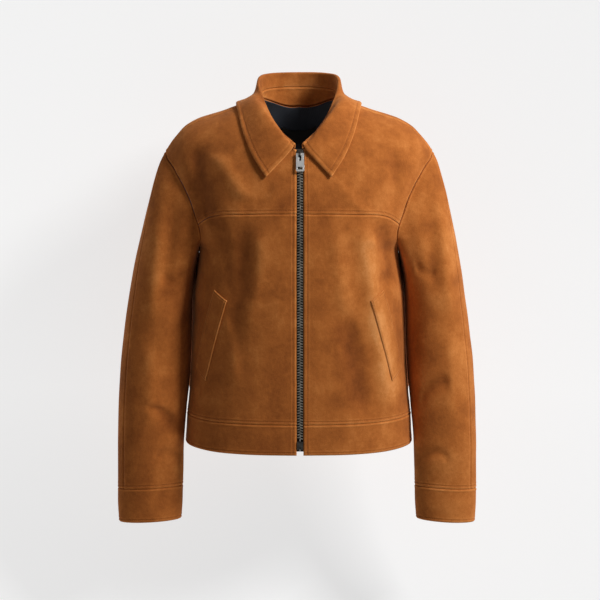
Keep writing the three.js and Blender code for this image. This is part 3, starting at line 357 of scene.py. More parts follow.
# Steps along a panel, close together near its seams
def closeSteps(length, coarse, first=True, last=True):
    near = [0, 0.5, 1.0, 1.6, 2.3, 3.0, 3.7, 4.4, 5.1, 5.8, 6.5, 7.3, 8.1, 8.9, 10, 12]
    start = near if first else [0]
    end = near if last else [0]
    room = length - start[-1] - end[-1]
    count = max(2, round(room / coarse))
    middle = [start[-1] + room * k / count for k in range(1, count)]
    return np.array(start + middle + [length - step for step in reversed(end)]) / length


def gridNormals(points, hint, wrap=False):
    if wrap:
        wide = np.concatenate([points[:, -2:-1], points, points[:, 1:2]], axis=1)
    else:
        wide = np.concatenate([points[:, :1], points, points[:, -1:]], axis=1)
    tall = np.concatenate([points[:1], points, points[-1:]], axis=0)
    normals = unit(np.cross(wide[:, 2:] - wide[:, :-2], tall[2:] - tall[:-2]))
    return -normals if np.sum(normals * hint) < 0 else normals


def runsFrom(points, edge):
    axis = 0 if edge in ("first", "last") else 1
    flip = edge in ("last", "right")
    laid = np.flip(points, axis) if flip else points
    steps = np.linalg.norm(np.diff(laid, axis=axis), axis=-1)
    runs = np.concatenate([np.zeros_like(np.take(steps, [0], axis)), np.cumsum(steps, axis=axis)], axis=axis)
    return np.flip(runs, axis) if flip else runs


def bump(distance, centre, width):
    return np.exp(-(((distance - centre) / width) ** 2))


# How a seam shapes the cloth beside it: the edge drops and a ridge swells next to it. Its colour is darker in the
# seam's dip as painted shade, and lighter along the ridge, partly rubbed nap and partly painted highlight
seamForms = {
    "turned": {"drop": 0.9, "dropWide": 1.0},
    "lapped": {"drop": 0.35, "dropWide": 0.7},
    "under": {"drop": 0.9, "dropWide": 1.5, "ridge": 0.5, "ridgeAt": 3.0, "ridgeWide": 1.7,
              "dark": 0.3, "darkWide": 0.9, "light": 0.5, "lightAt": 2.8, "lightWide": 1.5},
    "plain": {"drop": 0.6, "dropWide": 1.5, "ridge": 0.5, "ridgeAt": 3.0, "ridgeWide": 1.7,
              "dark": 0.3, "darkWide": 0.9, "light": 0.5, "lightAt": 2.8, "lightWide": 1.5},
    "soft": {"drop": 0.6, "dropWide": 1.6, "ridge": 0.2, "ridgeAt": 3.4, "ridgeWide": 2.0,
             "dark": 0.25, "darkWide": 1.0, "light": 0.15, "lightAt": 3.2, "lightWide": 1.8},
}
# A topstitched edge: the groove of the row, the swell between row and edge, and the swell past the row. Its colour is
# lighter at the edge and on the swells, partly rubbed nap and partly painted highlight, and darker in the groove as
# painted shade
rowForm = {"groove": 0.34, "grooveWide": 0.85, "swell": 0.3, "swellAt": 0.52, "swellWide": 0.26,
           "past": 0.2, "pastAt": 2.2, "pastWide": 1.5, "edgeLight": 0.75, "edgeLightAt": 0.8, "edgeLightWide": 0.9,
           "swellLight": 0.3, "swellLightWide": 0.3, "pastLight": 0.25, "pastLightAt": 1.9, "pastLightWide": 1.2,
           "grooveShade": 0.3, "grooveShadeWide": 0.8}


def seamShape(kind, stitch, distance, pucker):
    form = seamForms[kind]
    height = -form["drop"] * bump(distance, 0, form["dropWide"])
    if kind in ("turned", "lapped"):
        row = rowForm
        height = height - row["groove"] * bump(distance, stitch, row["grooveWide"])
        height += row["swell"] * pucker * bump(distance, stitch * row["swellAt"], stitch * row["swellWide"])
        height += row["past"] * pucker * bump(distance, stitch + row["pastAt"], row["pastWide"])
        # lighter edge and swells, partly rubbed nap and partly painted highlight; the groove is darkened as painted
        # shade
        tone = row["edgeLight"] * bump(distance, row["edgeLightAt"], row["edgeLightWide"])
        tone += row["swellLight"] * bump(distance, stitch * row["swellAt"], stitch * row["swellLightWide"])
        tone += row["pastLight"] * bump(distance, stitch + row["pastLightAt"], row["pastLightWide"])
        tone -= row["grooveShade"] * bump(distance, stitch, row["grooveShadeWide"])
    else:
        height += form["ridge"] * pucker * bump(distance, form["ridgeAt"], form["ridgeWide"])
        # painted shade in the seam's dip; the lighter line on the ridge is partly rubbed nap and partly painted
        # highlight
        tone = -form["dark"] * bump(distance, 0, form["darkWide"])
        tone += form["light"] * bump(distance, form["lightAt"], form["lightWide"])
    return height, tone


def drawnBack(points, edges):
    points = points.copy()
    back = body["seamGap"] / 6
    for edge in edges:
        at, inside = {"first": (0, 1), "last": (-1, -2), "left": (0, 1), "right": (-1, -2)}[edge]
        if edge in ("first", "last"):
            points[at] += unit(points[inside] - points[at]) * back
        else:
            points[:, at] += unit(points[:, inside] - points[:, at]) * back
    return points


def pressed(points, hint, seams, wrap=False):
    normals = gridNormals(points, hint, wrap)
    puckerShare, puckerPitch = wander["pucker"]
    heightShare, heightPitch = wander["height"]
    toneShare, tonePitch = wander["tone"]
    pucker = 1 + puckerShare * unevenness(points, puckerPitch)
    height = heightShare * unevenness(points, heightPitch)
    x, y, z = points[..., 0], points[..., 1], points[..., 2]
    facing = np.where(y < 0, -1.0, 1.0)
    # painted shade and highlight: the colour tone follows the folds, lighter on their ridges and darker in their
    # troughs
    ridge = (foldDepth(mainFolds, x, y, z) + foldDepth(softFolds, x, y, z)) * facing
    tone = np.clip(ridge / wander["foldShadeDepth"], -wander["foldShadeLimit"], wander["foldShadeLimit"])
    tone = tone + toneShare * unevenness(points, tonePitch)
    # painted shade across the jacket: the tone rises towards the key light's side (+x) and falls towards the other side
    tone = tone + wander["sideShade"] * np.clip(x / wander["sideShadeSpan"], -1, 1)
    for edge, (kind, stitch) in seams.items():
        more, moreTone = seamShape(kind, stitch, runsFrom(points, edge), pucker)
        height += more
        tone += moreTone
    moved = points + normals * height[..., None]
    return {"points": moved, "normals": gridNormals(moved, hint, wrap), "tone": np.clip(tone, -1, 1)}


def clothMesh(name, surface, wrap=False):
    points = surface["points"]
    rows, columns = points.shape[:2]
    mesh = bmesh.new()
    bmesh.ops.create_grid(mesh, x_segments=columns - 1, y_segments=rows - 1, size=0.5)
    toneLayer = mesh.verts.layers.float.new("tone")
    for corner in mesh.verts:
        column = round((corner.co.x + 0.5) * (columns - 1))
        row = round((corner.co.y + 0.5) * (rows - 1))
        corner[toneLayer] = float(surface["tone"][row, column])
        corner.co = Vector(points[row, column]) * mm
    if wrap:
        bmesh.ops.remove_doubles(mesh, verts=mesh.verts, dist=1e-7)
    mesh.faces.ensure_lookup_table()
    mesh.normal_update()
    middle = surface["normals"][rows // 2, columns // 2]
    centre = Vector(points[rows // 2, columns // 2]) * mm
    nearest = min(mesh.faces, key=lambda face: (face.calc_center_median() - centre).length_squared)
    if nearest.normal.dot(Vector(middle)) < 0:
        bmesh.ops.reverse_faces(mesh, faces=mesh.faces)
    data = bpy.data.meshes.new(name)
    mesh.to_mesh(data)
    mesh.free()
    data.shade_smooth()
    return data


def addObject(name, data, materials, bodyName="jacket"):
    piece = bpy.data.objects.new(name, data)
    scene.collection.objects.link(piece)
    for material in materials:
        data.materials.append(material)
    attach(piece, bodyName)
    return piece


def addCloth(name, surface, wall, outside, inside, node, wrap=False):
    piece = addObject(name, clothMesh(name, surface, wrap), [outside, inside])
    thick = piece.modifiers.new("wall", "SOLIDIFY")
    thick.thickness = wall * mm
    thick.offset = -1
    thick.material_offset = 1
    thick.use_quality_normals = True
    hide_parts(node)
    return piece


class Value:
    def __init__(self, tree, socket):
        self.tree = tree
        self.socket = socket

    def maths(self, operation, first, second):
        node = self.tree.nodes.new("ShaderNodeMath")
        node.operation = operation
        for place, value in enumerate((first, second)):
            if isinstance(value, Value):
                self.tree.links.new(value.socket, node.inputs[place])
            else:
                node.inputs[place].default_value = value
        return Value(self.tree, node.outputs[0])

    def __add__(self, other):
        return self.maths("ADD", self, other)

    def __sub__(self, other):
        return self.maths("SUBTRACT", self, other)

    def __rsub__(self, other):
        return self.maths("SUBTRACT", other, self)

    def __mul__(self, other):
        return self.maths("MULTIPLY", self, other)

    __radd__ = __add__
    __rmul__ = __mul__


class Finish:
    def __init__(self, name, **fixed):
        self.material = bpy.data.materials.new(name)
        self.material.use_nodes = True
        self.tree = self.material.node_tree
        self.tree.nodes.clear()
        self.shader = self.node("ShaderNodeBsdfPrincipled", output=None)
        for socket, value in fixed.items():
            self.shader.inputs[socket.replace("_", " ")].default_value = value
        out = self.node("ShaderNodeOutputMaterial", output=None)
        self.tree.links.new(self.shader.outputs[0], out.inputs[0])
        self.place = self.node("ShaderNodeTexCoord", output="Object")

    def node(self, kind, settings=None, values=None, output=0):
        node = self.tree.nodes.new(kind)
        for name, value in (settings or {}).items():
            if name == "stops":
                while len(node.color_ramp.elements) < len(value):
                    node.color_ramp.elements.new(0.5)
                for stop, (place, colour) in zip(node.color_ramp.elements, value):
                    stop.position = place
                    stop.color = (*colour, 1)
            else:
                setattr(node, name, value)
        for name, value in (values or {}).items():
            if isinstance(value, Value):
                self.tree.links.new(value.socket, node.inputs[name])
            else:
                node.inputs[name].default_value = value
        return node if output is None else Value(self.tree, node.outputs[output])

    def noise(self, scale, detail=2.0, roughness=0.5):
        return self.node("ShaderNodeTexNoise", values={
            "Vector": self.place, "Scale": scale, "Detail": detail, "Roughness": roughness})

    def feed(self, socket, value):
        self.tree.links.new(value.socket, self.shader.inputs[socket])

    def bumped(self, height, distance, strength):
        self.feed("Normal", self.node("ShaderNodeBump", values={
            "Height": height, "Distance": distance, "Strength": strength}))


suedeLook = {
    "stops": [(0.0, (0.17, 0.043, 0.008)), (0.32, (0.32, 0.089, 0.017)),
              (0.55, (0.46, 0.138, 0.027)), (0.78, (0.6, 0.206, 0.048)), (1.0, (0.74, 0.3, 0.09))],
    "patchScale": 14, "mottleScale": 55, "speckScale": 170, "napScale": 750,
}


def suedeFinish(name, shift=0.0):
    finish = Finish(name, Roughness=0.95, Sheen_Weight=0.2, Sheen_Roughness=0.5,
                    Sheen_Tint=(0.95, 0.55, 0.28, 1), Specular_IOR_Level=0.12)
    tone = finish.node("ShaderNodeAttribute", {"attribute_name": "tone"}, output="Fac")
    patch = finish.noise(suedeLook["patchScale"], 3.0)
    mottle = finish.noise(suedeLook["mottleScale"], 4.0, 0.6)
    speck = finish.noise(suedeLook["speckScale"], 5.0, 0.65)
    nap = finish.noise(suedeLook["napScale"], 3.0, 0.6)
    cloud = (patch - 0.5) * 0.7 + (mottle - 0.5) * 0.4 + (speck - 0.5) * 0.35 + (nap - 0.5) * 0.25
    # the tone attribute carries painted shade and highlight from folds, seams and one side, together with the suede's
    # random tone
    shade = cloud + tone * 0.36 + (0.52 + shift)
    finish.feed("Base Color", finish.node("ShaderNodeValToRGB", {"stops": suedeLook["stops"]}, {"Fac": shade}))
    finish.bumped(nap * 0.6 + speck * 0.8 + mottle * 1.4, 0.0007, 0.6)
    return finish.material


def liningFinish():
    finish = Finish("darkLining", Roughness=0.62, Sheen_Weight=0.25, Specular_IOR_Level=0.35)
    weave = finish.node("ShaderNodeTexWave", {"wave_type": "BANDS", "bands_direction": "DIAGONAL"},
                        {"Vector": finish.place, "Scale": 260, "Distortion": 0.4}, output="Fac")
    cloud = finish.noise(30)
    colour = finish.node("ShaderNodeValToRGB", {"stops": [(0.2, (0.026, 0.031, 0.045)), (0.8, (0.05, 0.058, 0.078))]},
                         {"Fac": cloud * 0.6 + weave * 0.4})
    finish.feed("Base Color", colour)
    finish.bumped(weave, 0.0002, 0.35)
    return finish.material


def tapeFinish():
    finish = Finish("zipTapeCloth", Roughness=0.85, Sheen_Weight=0.2)
    rib = finish.node("ShaderNodeTexWave", {"wave_type": "BANDS", "bands_direction": "Z"},
                      {"Vector": finish.place, "Scale": 300}, output="Fac")
    finish.feed("Base Color", finish.node("ShaderNodeValToRGB", {
        "stops": [(0.0, (0.012, 0.010, 0.009)), (1.0, (0.035, 0.028, 0.022))]}, {"Fac": rib}))
    finish.bumped(rib, 0.0002, 0.5)
    return finish.material


def metalFinish(name, dark, light, roughness, metallic=1.0):
    finish = Finish(name, Metallic=metallic)
    grain = finish.noise(900, 3.0)
    wear = finish.noise(160, 3.0)
    finish.feed("Base Color", finish.node("ShaderNodeValToRGB", {"stops": [(0.3, dark), (0.75, light)]}, {"Fac": wear}))
    finish.feed("Roughness", grain * 0.14 + roughness)
    finish.bumped(grain, 0.00005, 0.2)
    return finish.material


def threadFinish():
    finish = Finish("tonalThread", Roughness=0.7, Specular_IOR_Level=0.2)
    finish.feed("Base Color", finish.node("ShaderNodeValToRGB", {
        "stops": [(0.2, (0.38, 0.12, 0.03)), (0.8, (0.56, 0.2, 0.055))]}, {"Fac": finish.noise(300)}))
    return finish.material


suede = suedeFinish("suede")
suedeInside = suedeFinish("suedeInside", -0.06)
lining = liningFinish()
tape = tapeFinish()
darkMetal = metalFinish("darkMetal", (0.05, 0.045, 0.04), (0.2, 0.185, 0.165), 0.3)
toothMetal = metalFinish("toothMetal", (0.24, 0.22, 0.18), (0.62, 0.58, 0.5), 0.3, 0.8)
brightMetal = metalFinish("brightMetal", (0.82, 0.82, 0.8), (0.93, 0.92, 0.9), 0.24, 0.6)
threadLook = threadFinish()
print("finishes made")

surfaces = {}
stitches = {"pitch": 3.3, "length": 2.6, "thick": 0.62, "lift": 0.05}
wallOf = {"panel": 1.5, "band": 2.5, "collar": 1.9}
topstitch = {"front": 6.0, "yoke": 4.8, "waist": 4.5, "hem": 4.2, "collar": 7.6, "cuff": 4.6, "armhole": 4.2,
             "welt": 2.6, "collarFold": 2.6}


def frontTurn(side, share, level):
    start = turnTo(False, body["zipHalfGap"] + side * body["zipX"], level)
    return start + (edgeTurn(False, level) - start) * share


def bodyHint(points):
    hint = points.copy()
    hint[..., 2] = 40
    return hint


panelSizes = {
    "front": {"width": 232, "height": 330, "coarse": 3.6, "lift": 60, "flat": (0.235, 0.33),
              "area": 0.066},
    "yoke": {"width": 215, "height": 190, "coarse": 3.4, "flat": (0.24, 0.21), "area": 0.033},
    "band": {"width": 240, "height": 48, "coarse": 3.6, "flat": (0.245, 0.049)},
}


def addFront(name, side):
    sizes = panelSizes["front"]
    shares = closeSteps(sizes["width"], sizes["coarse"])
    rises = closeSteps(sizes["height"], sizes["coarse"])
    yokeLift = readTable(yokeSeamRows, "share", "lift", shares)
    # rows run up in even millimetres: below the armpit as drop, above it as lift
    lift = sizes["lift"]
    total = -body["waistSeam"] + lift
    up = rises[:, None] * total + body["waistSeam"]
    level = np.where(up <= 0, up, up / lift * yokeLift[None, :])
    points = bodyPoint(False, side * frontTurn(side, shares[None, :], level), level)
    points = drawnBack(points, ("first", "last", "right"))
    seams = {"first": ("lapped", topstitch["waist"]), "last": ("under", 0),
             "left": ("turned", topstitch["front"]), "right": ("plain", 0)}
    surface = pressed(points, bodyHint(points), seams)
    surfaces[f"front_{name}"] = surface
    addCloth(f"suede_front_{name}", surface, wallOf["panel"], suede, lining, f"front_{name}")

    sizes = panelSizes["yoke"]
    shares = closeSteps(sizes["width"], sizes["coarse"])
    rises = closeSteps(sizes["height"], sizes["coarse"])
    yokeLift = readTable(yokeSeamRows, "share", "lift", shares)
    top = topLevel(False, lambda level: frontTurn(side, shares, level), len(shares))
    level = yokeLift[None, :] + (top - yokeLift)[None, :] * rises[:, None]
    points = bodyPoint(False, side * frontTurn(side, shares[None, :], level), level)
    points = drawnBack(points, ("first", "last", "right"))
    seams = {"first": ("lapped", topstitch["yoke"]), "last": ("plain", 0),
             "left": ("turned", topstitch["front"]), "right": ("plain", 0)}
    surface = pressed(points, bodyHint(points), seams)
    surfaces[f"yoke_{name}"] = surface
    addCloth(f"suede_yoke_{name}", surface, wallOf["panel"], suede, lining, f"yoke_{name}")

    sizes = panelSizes["band"]
    shares = closeSteps(sizes["width"], sizes["coarse"])
    rises = closeSteps(sizes["height"], sizes["coarse"])
    level = (body["waistSeam"] + (body["hem"] - body["waistSeam"]) * rises)[:, None] + 0 * shares[None, :]
    points = bodyPoint(False, side * frontTurn(side, shares[None, :], level), level)
    points = drawnBack(points, ("first", "right"))
    seams = {"first": ("under", 0), "last": ("turned", topstitch["hem"]),
             "left": ("turned", topstitch["front"]), "right": ("plain", 0)}
    surface = pressed(points, bodyHint(points), seams)
    surfaces[f"band_{name}"] = surface
    addCloth(f"suede_waistband_{name}", surface, wallOf["band"], suede, lining, f"waistband_front_{name}")


backSizes = {"width": 470, "height": 560, "bandHeight": 48, "coarse": 4.0, "lift": 330, "crowd": 1.12,
             "flat": (0.55, 0.56), "area": 0.25, "bandFlat": (0.47, 0.049)}


def addBack():
    half = closeSteps(backSizes["width"] / 2, backSizes["coarse"], first=False)
    shares = np.concatenate([-half[::-1], half[1:]])
    side = np.where(shares < 0, -1, 1)
    reach = np.abs(shares)
    top = topLevel(True, lambda level: reach * edgeTurn(True, level), len(shares))
    rises = closeSteps(backSizes["height"], backSizes["coarse"])
    lift = backSizes["lift"]
    up = rises[:, None] * (-body["waistSeam"] + lift) + body["waistSeam"]
    bent = (np.clip(up, 0, None) / lift) ** backSizes["crowd"]
    level = np.where(up <= 0, up, bent * top[None, :])
    points = bodyPoint(True, side * reach * edgeTurn(True, level), level)
    points = drawnBack(points, ("first", "last", "left", "right"))
    seams = {"first": ("lapped", topstitch["waist"]), "last": ("lapped", topstitch["armhole"]),
             "left": ("plain", 0), "right": ("plain", 0)}
    surface = pressed(points, bodyHint(points), seams)
    surfaces["back"] = surface
    addCloth("suede_back", surface, wallOf["panel"], suede, lining, "back")
    rises = closeSteps(backSizes["bandHeight"], backSizes["coarse"])
    level = (body["waistSeam"] + (body["hem"] - body["waistSeam"]) * rises)[:, None] + 0 * shares[None, :]
    points = bodyPoint(True, side * reach * 90, level)
    points = drawnBack(points, ("first", "left", "right"))
    seams = {"first": ("under", 0), "last": ("turned", topstitch["hem"]), "left": ("plain", 0), "right": ("plain", 0)}
    surface = pressed(points, bodyHint(points), seams)
    surfaces["band_back"] = surface
    addCloth("suede_waistband_back", surface, wallOf["band"], suede, lining, "waistband_back")


sleeveSizes = {"length": 600, "front": 170, "back": 190, "coarse": 4.2, "cuffHeight": 50,
               "flatFront": (0.17, 0.55), "flatBack": (0.19, 0.57), "areaFront": 0.075, "areaBack": 0.09,
               "cuffFlat": (0.25, 0.052), "cuffSteps": 44, "crowdFront": 1.6, "crowdBack": 1.5}


def sleeveHint(points, side, ring):
    row = sleeveRow(ring)
    middle = np.stack([(row["inX"] + row["outX"]) / 2 * side, row["midY"], (row["inZ"] + row["outZ"]) / 2], axis=-1)
    return points - middle


def addSleeve(name, side):
    rings = closeSteps(sleeveSizes["length"], sleeveSizes["coarse"]) * sleeve["cuffRing"]
    for isBack, part in ((False, "front"), (True, "back")):
        across = closeSteps(sleeveSizes[part], sleeveSizes["coarse"])
        last = 180 - body["shoulderSeam"] if isBack else body["shoulderSeam"]
        # levels crowd near the armpit, where a degree is long
        level = last * across ** sleeveSizes[f"crowd{part.capitalize()}"]
        grid = sleevePoint(side, isBack, level[None, :], rings[:, None])
        points = drawnBack(grid, ("first", "last", "left", "right"))
        points = drawnBack(points, ("first",))
        seams = {"first": ("plain", 0), "last": ("lapped", topstitch["cuff"]), "left": ("soft", 0),
                 "right": ("soft", 0)}
        ringGrid = np.broadcast_to(rings[:, None], points.shape[:2])
        surface = pressed(points, sleeveHint(points, side, ringGrid), seams)
        surfaces[f"sleeve_{name}_{part}"] = surface
        addCloth(f"suede_sleeve_{name}_{part}", surface, wallOf["panel"], suede, lining, f"sleeve_{name}_{part}")
    rises = closeSteps(sleeveSizes["cuffHeight"], sleeveSizes["coarse"])
    rings = sleeve["cuffRing"] + rises * (sleeve["lastRing"] - sleeve["cuffRing"])
    steps = np.linspace(0, 1, sleeveSizes["cuffSteps"])
    frontLevel = body["shoulderSeam"] * steps ** sleeveSizes["crowdFront"]
    backLevel = (180 - body["shoulderSeam"]) * steps ** sleeveSizes["crowdBack"]
    front = sleevePoint(side, False, frontLevel[None, :], rings[:, None])
    back = sleevePoint(side, True, backLevel[None, :], rings[:, None])
    points = np.concatenate([front, back[:, ::-1][:, 1:]], axis=1)
    points = drawnBack(points, ("first",))
    ringGrid = np.broadcast_to(rings[:, None], points.shape[:2])
    seams = {"first": ("under", 0), "last": ("turned", topstitch["cuff"])}
    surface = pressed(points, sleeveHint(points, side, ringGrid), seams, wrap=True)
    surfaces[f"cuff_{name}"] = surface
    addCloth(f"suede_cuff_{name}", surface, wallOf["band"], suede, suedeInside, f"cuff_{name}",
             wrap=True)


def neckPoint(turn):
    isFront = np.abs(turn) < 90
    reach = np.where(isFront, neckMidY - body["neckFront"], body["neckBack"] - neckMidY)
    power = np.where(isFront, 2 / body["neckFrontPower"], 1.0)
    sine, cosine = np.sin(np.radians(turn)), np.cos(np.radians(turn))
    x = body["neckHalfWidth"] * np.sign(sine) * np.abs(sine) ** power
    y = neckMidY - reach * np.sign(cosine) * np.abs(cosine) ** power
    isBack = y > 0
    low, high = np.full_like(x, 10), np.full_like(x, 90)
    for _ in range(30):
        middle = (low + high) / 2
        short = np.abs(bodyPoint(isBack, turnTo(isBack, x, middle), middle)[..., 1]) > np.abs(y)
        low, high = np.where(short, middle, low), np.where(short, high, middle)
    across = turnTo(isBack, x, low)
    return bodyPoint(isBack, across, low), bodyNormal(isBack, across, low)


def clearOfBody(points, clearance):
    x, y, z = points[..., 0], points[..., 1], points[..., 2]
    isBack = y > 0
    ridge = readTable(ridgeRows, "x", "z", np.abs(x))
    byHeight = np.degrees(np.arcsin(np.clip((z - body["armpitZ"]) / (ridge - body["armpitZ"]), 0, 1)))
    low, high = np.full_like(x, 20), np.full_like(x, 90)
    for _ in range(24):
        middle = (low + high) / 2
        short = np.abs(bodyPoint(isBack, turnTo(isBack, x, middle), middle)[..., 1]) > np.abs(y)
        low, high = np.where(short, middle, low), np.where(short, high, middle)
    level = np.where((byHeight > 50) | isBack, low, byHeight)
    turn = turnTo(isBack, x, level)
    normal = bodyNormal(isBack, turn, level)
    gap = np.sum((points - bodyPoint(isBack, turn, level)) * normal, axis=-1)
    push = np.where(insideNeck(points), 0, np.maximum(clearance - gap, 0))
    return points + normal * push[..., None]


def collarSections(places):
    side = np.where(places < 0, -1.0, 1.0)
    at = np.abs(places)
    table = dict(collarRows, i=list(range(len(collarRows["turn"]))))

    def read(column, where):
        return readTable(table, "i", column, where)

    def rollAt(where):
        return np.stack([read("rollX", where) * side, read("rollY", where), read("rollZ", where)], axis=-1)

    roll = rollAt(at)
    edge = np.stack([read("edgeX", at) * side, read("edgeY", at), read("edgeZ", at)], axis=-1)
    last = len(collarRows["turn"]) - 1
    ahead = rollAt(np.minimum(at + 0.2, last)) - rollAt(np.maximum(np.minimum(at, last - 0.2), 0))
    middle = np.stack([-side, 0 * side, 0 * side], axis=-1)
    ease = smoothStep(at, last - 1.2, last)[:, None]
    tangent = unit(unit(ahead) * (1 - ease) + middle * ease)
    neck, normal = neckPoint(read("turn", at) * side)
    foot = neck + normal * collar["footClearance"]
    up = unit(roll - foot) + unit(roll - edge)
    up = unit(up - tangent * np.sum(up * tangent, axis=-1, keepdims=True))
    outward = np.cross(tangent, up)
    outward *= np.where(np.sum(outward * normal, axis=-1) < 0, -1, 1)[:, None]
    return {"roll": roll, "edge": edge, "foot": foot, "outward": outward, "up": up, "over": read("over", at)[:, None]}


def throughThree(a, b, c, t):
    points = [2 * a - b, a, b, c, 2 * c - b]
    first = 0 if t < 0.5 else 1
    p0, p1, p2, p3 = points[first:first + 4]
    w = t * 2 - first

    def gap(p, q):
        return np.linalg.norm(p - q, axis=-1, keepdims=True) ** 0.5

    d0, d1, d2 = gap(p0, p1), gap(p1, p2), gap(p2, p3)
    t1 = ((p1 - p0) / d0 - (p2 - p0) / (d0 + d1) + (p2 - p1) / d1) * d1
    t2 = ((p2 - p1) / d1 - (p3 - p1) / (d1 + d2) + (p3 - p2) / d2) * d1
    return p1 + t1 * w + (-3 * p1 + 3 * p2 - 2 * t1 - t2) * w ** 2 + (2 * p1 - 2 * p2 + t1 + t2) * w ** 3


collarSizes = {"stations": 90, "rollSteps": 9, "flat": (0.44, 0.115), "area": 0.047,
               "standFlat": (0.16, 0.03), "fallLength": 95, "coarse": 3.2, "standHeight": 30, "standCoarse": 3,
               "standShare": 0.8}


def addCollar():
    last = len(collarRows["turn"]) - 1
    near = np.array([1e-6, 0.02, 0.04, 0.065, 0.09, 0.12, 0.15, 0.18, 0.21, 0.24, 0.27, 0.3, 0.33, 0.37, 0.42, 0.5])
    far = np.linspace(0.5, last, collarSizes["stations"])[1:]
    half = np.concatenate([near, far])
    places = np.concatenate([-half, half[::-1][1:]])
    parts = collarSections(places)
    radius = collar["rollRadius"]
    centre = parts["roll"] - parts["up"] * radius
    inTop = centre - parts["outward"] * radius
    outTop = centre + parts["outward"] * radius
    down = parts["foot"] - inTop
    long = np.linalg.norm(down, axis=-1, keepdims=True)
    seamShare = np.minimum(1, collar["insideFold"] / long)
    insideSteps = (1, 0.96, 0.9, 0.8, 0.65, 0.5, 0.35, 0.2, 0.1)
    path = [inTop + down * seamShare * k for k in insideSteps]
    for angle in np.radians(np.linspace(0, 180, collarSizes["rollSteps"] + 1)[:-1]):
        path.append(centre - parts["outward"] * radius * math.cos(angle) + parts["up"] * radius * math.sin(angle))
    overSeam = parts["foot"] + parts["outward"] * parts["over"]
    steps = closeSteps(collarSizes["fallLength"], collarSizes["coarse"], first=False)
    for t in steps:
        path.append(clearOfBody(throughThree(outTop, overSeam, parts["edge"], t), collar["clearance"]))
    points = np.stack(path)
    hint = np.broadcast_to(parts["outward"], points.shape).copy()
    hint[:len(insideSteps)] *= -1
    points = drawnBack(points, ("first",))
    seams = {"last": ("turned", topstitch["collar"]), "left": ("turned", topstitch["collar"]),
             "right": ("turned", topstitch["collar"]), "first": ("lapped", topstitch["collarFold"])}
    surface = pressed(points, hint, seams)
    surfaces["collar_fall"] = surface
    addCloth("suede_collar_fall", surface, wallOf["collar"], suede, suedeInside, "collar_fall")

    kept = seamShare[:, 0] < collarSizes["standShare"]
    rises = closeSteps(collarSizes["standHeight"], collarSizes["standCoarse"], first=False)
    foot, seam = parts["foot"][kept], (inTop + down * seamShare)[kept]
    points = foot[None] + (seam - foot)[None] * rises[:, None, None]
    points = drawnBack(points, ("last",))
    inward = np.broadcast_to(-parts["outward"][kept], points.shape)
    surface = pressed(points, inward, {"last": ("under", 0), "first": ("plain", 0)})
    surfaces["collar_stand"] = surface
    addCloth("suede_collar_stand", surface, wallOf["collar"], suede, suedeInside, "collar_stand")


liningSizes = {"deep": 2.4, "wall": 0.6, "low": 21, "share": 0.165, "seamZ": -46, "pleatX": 9, "flat": (0.14, 0.19),
               "area": 0.02, "labelShare": 0.0768, "labelDeep": 3.3, "labelWall": 0.4, "labelFlat": (0.057, 0.03),
               "length": 190, "coarse": 3.2, "columns": 61, "labelLow": 66, "labelHigh": 78, "labelColumns": 29,
               "labelRows": 17}


def liningPoint(share, level):
    # levels are scaled so that the topmost lies on the neck seam
    fullTop = 180 - body["shoulderSeam"]
    side = np.where(share < 0, -1, 1)
    reach = np.abs(share)
    top = topLevel(True, lambda at: reach * edgeTurn(True, at), len(share))
    at = level[:, None] / fullTop * top[None, :]
    return bodyPoint(True, side * reach * edgeTurn(True, at), at)


def addLining():
    share = np.linspace(-liningSizes["share"], liningSizes["share"], liningSizes["columns"])
    rises = closeSteps(liningSizes["length"], liningSizes["coarse"], last=False)
    level = liningSizes["low"] + (180 - body["shoulderSeam"] - liningSizes["low"]) * rises
    points = liningPoint(share, level)
    normals = gridNormals(points, bodyHint(points))
    # the lining's yoke seam and its centre pleat
    seamAt = bump(points[..., 2], liningSizes["seamZ"], 0.8) + 0.7 * bump(points[..., 0], liningSizes["pleatX"], 0.9)
    inward = liningSizes["deep"] + 0.6 * seamAt + 0.3 * unevenness(points, 40)
    surface = {"points": points - normals * inward[..., None], "normals": -normals, "tone": 0 * points[..., 0]}
    surfaces["lining_back"] = surface
    addCloth("lining_cloth", surface, liningSizes["wall"], lining, lining, "lining_back")

    half, low, high = liningSizes["labelShare"], liningSizes["labelLow"], liningSizes["labelHigh"]
    share = np.linspace(-half, half, liningSizes["labelColumns"])
    level = np.linspace(low, high, liningSizes["labelRows"])
    points = liningPoint(share, level)
    normals = gridNormals(points, bodyHint(points))
    rim = bump(np.abs(share), half, 0.004)[None, :] + bump(level, low, 0.8)[:, None]
    rim = np.minimum(rim + bump(level, high, 0.8)[:, None], 1)
    points = points - normals * (liningSizes["labelDeep"] - 0.25 * rim)[..., None]
    surface = {"points": points, "normals": -normals, "tone": 0 * points[..., 0]}
    addCloth("label_cloth", surface, liningSizes["labelWall"], tape, tape, "neck_label")


weltSizes = {"top": (37.5, -75, 49, -59), "foot": (54, -204, 67.6, -186), "lift": 1.9, "wall": 1.3,
             "length": 150, "width": 29, "coarseDown": 3.2, "coarseOver": 2.0, "flat": (0.03, 0.15)}


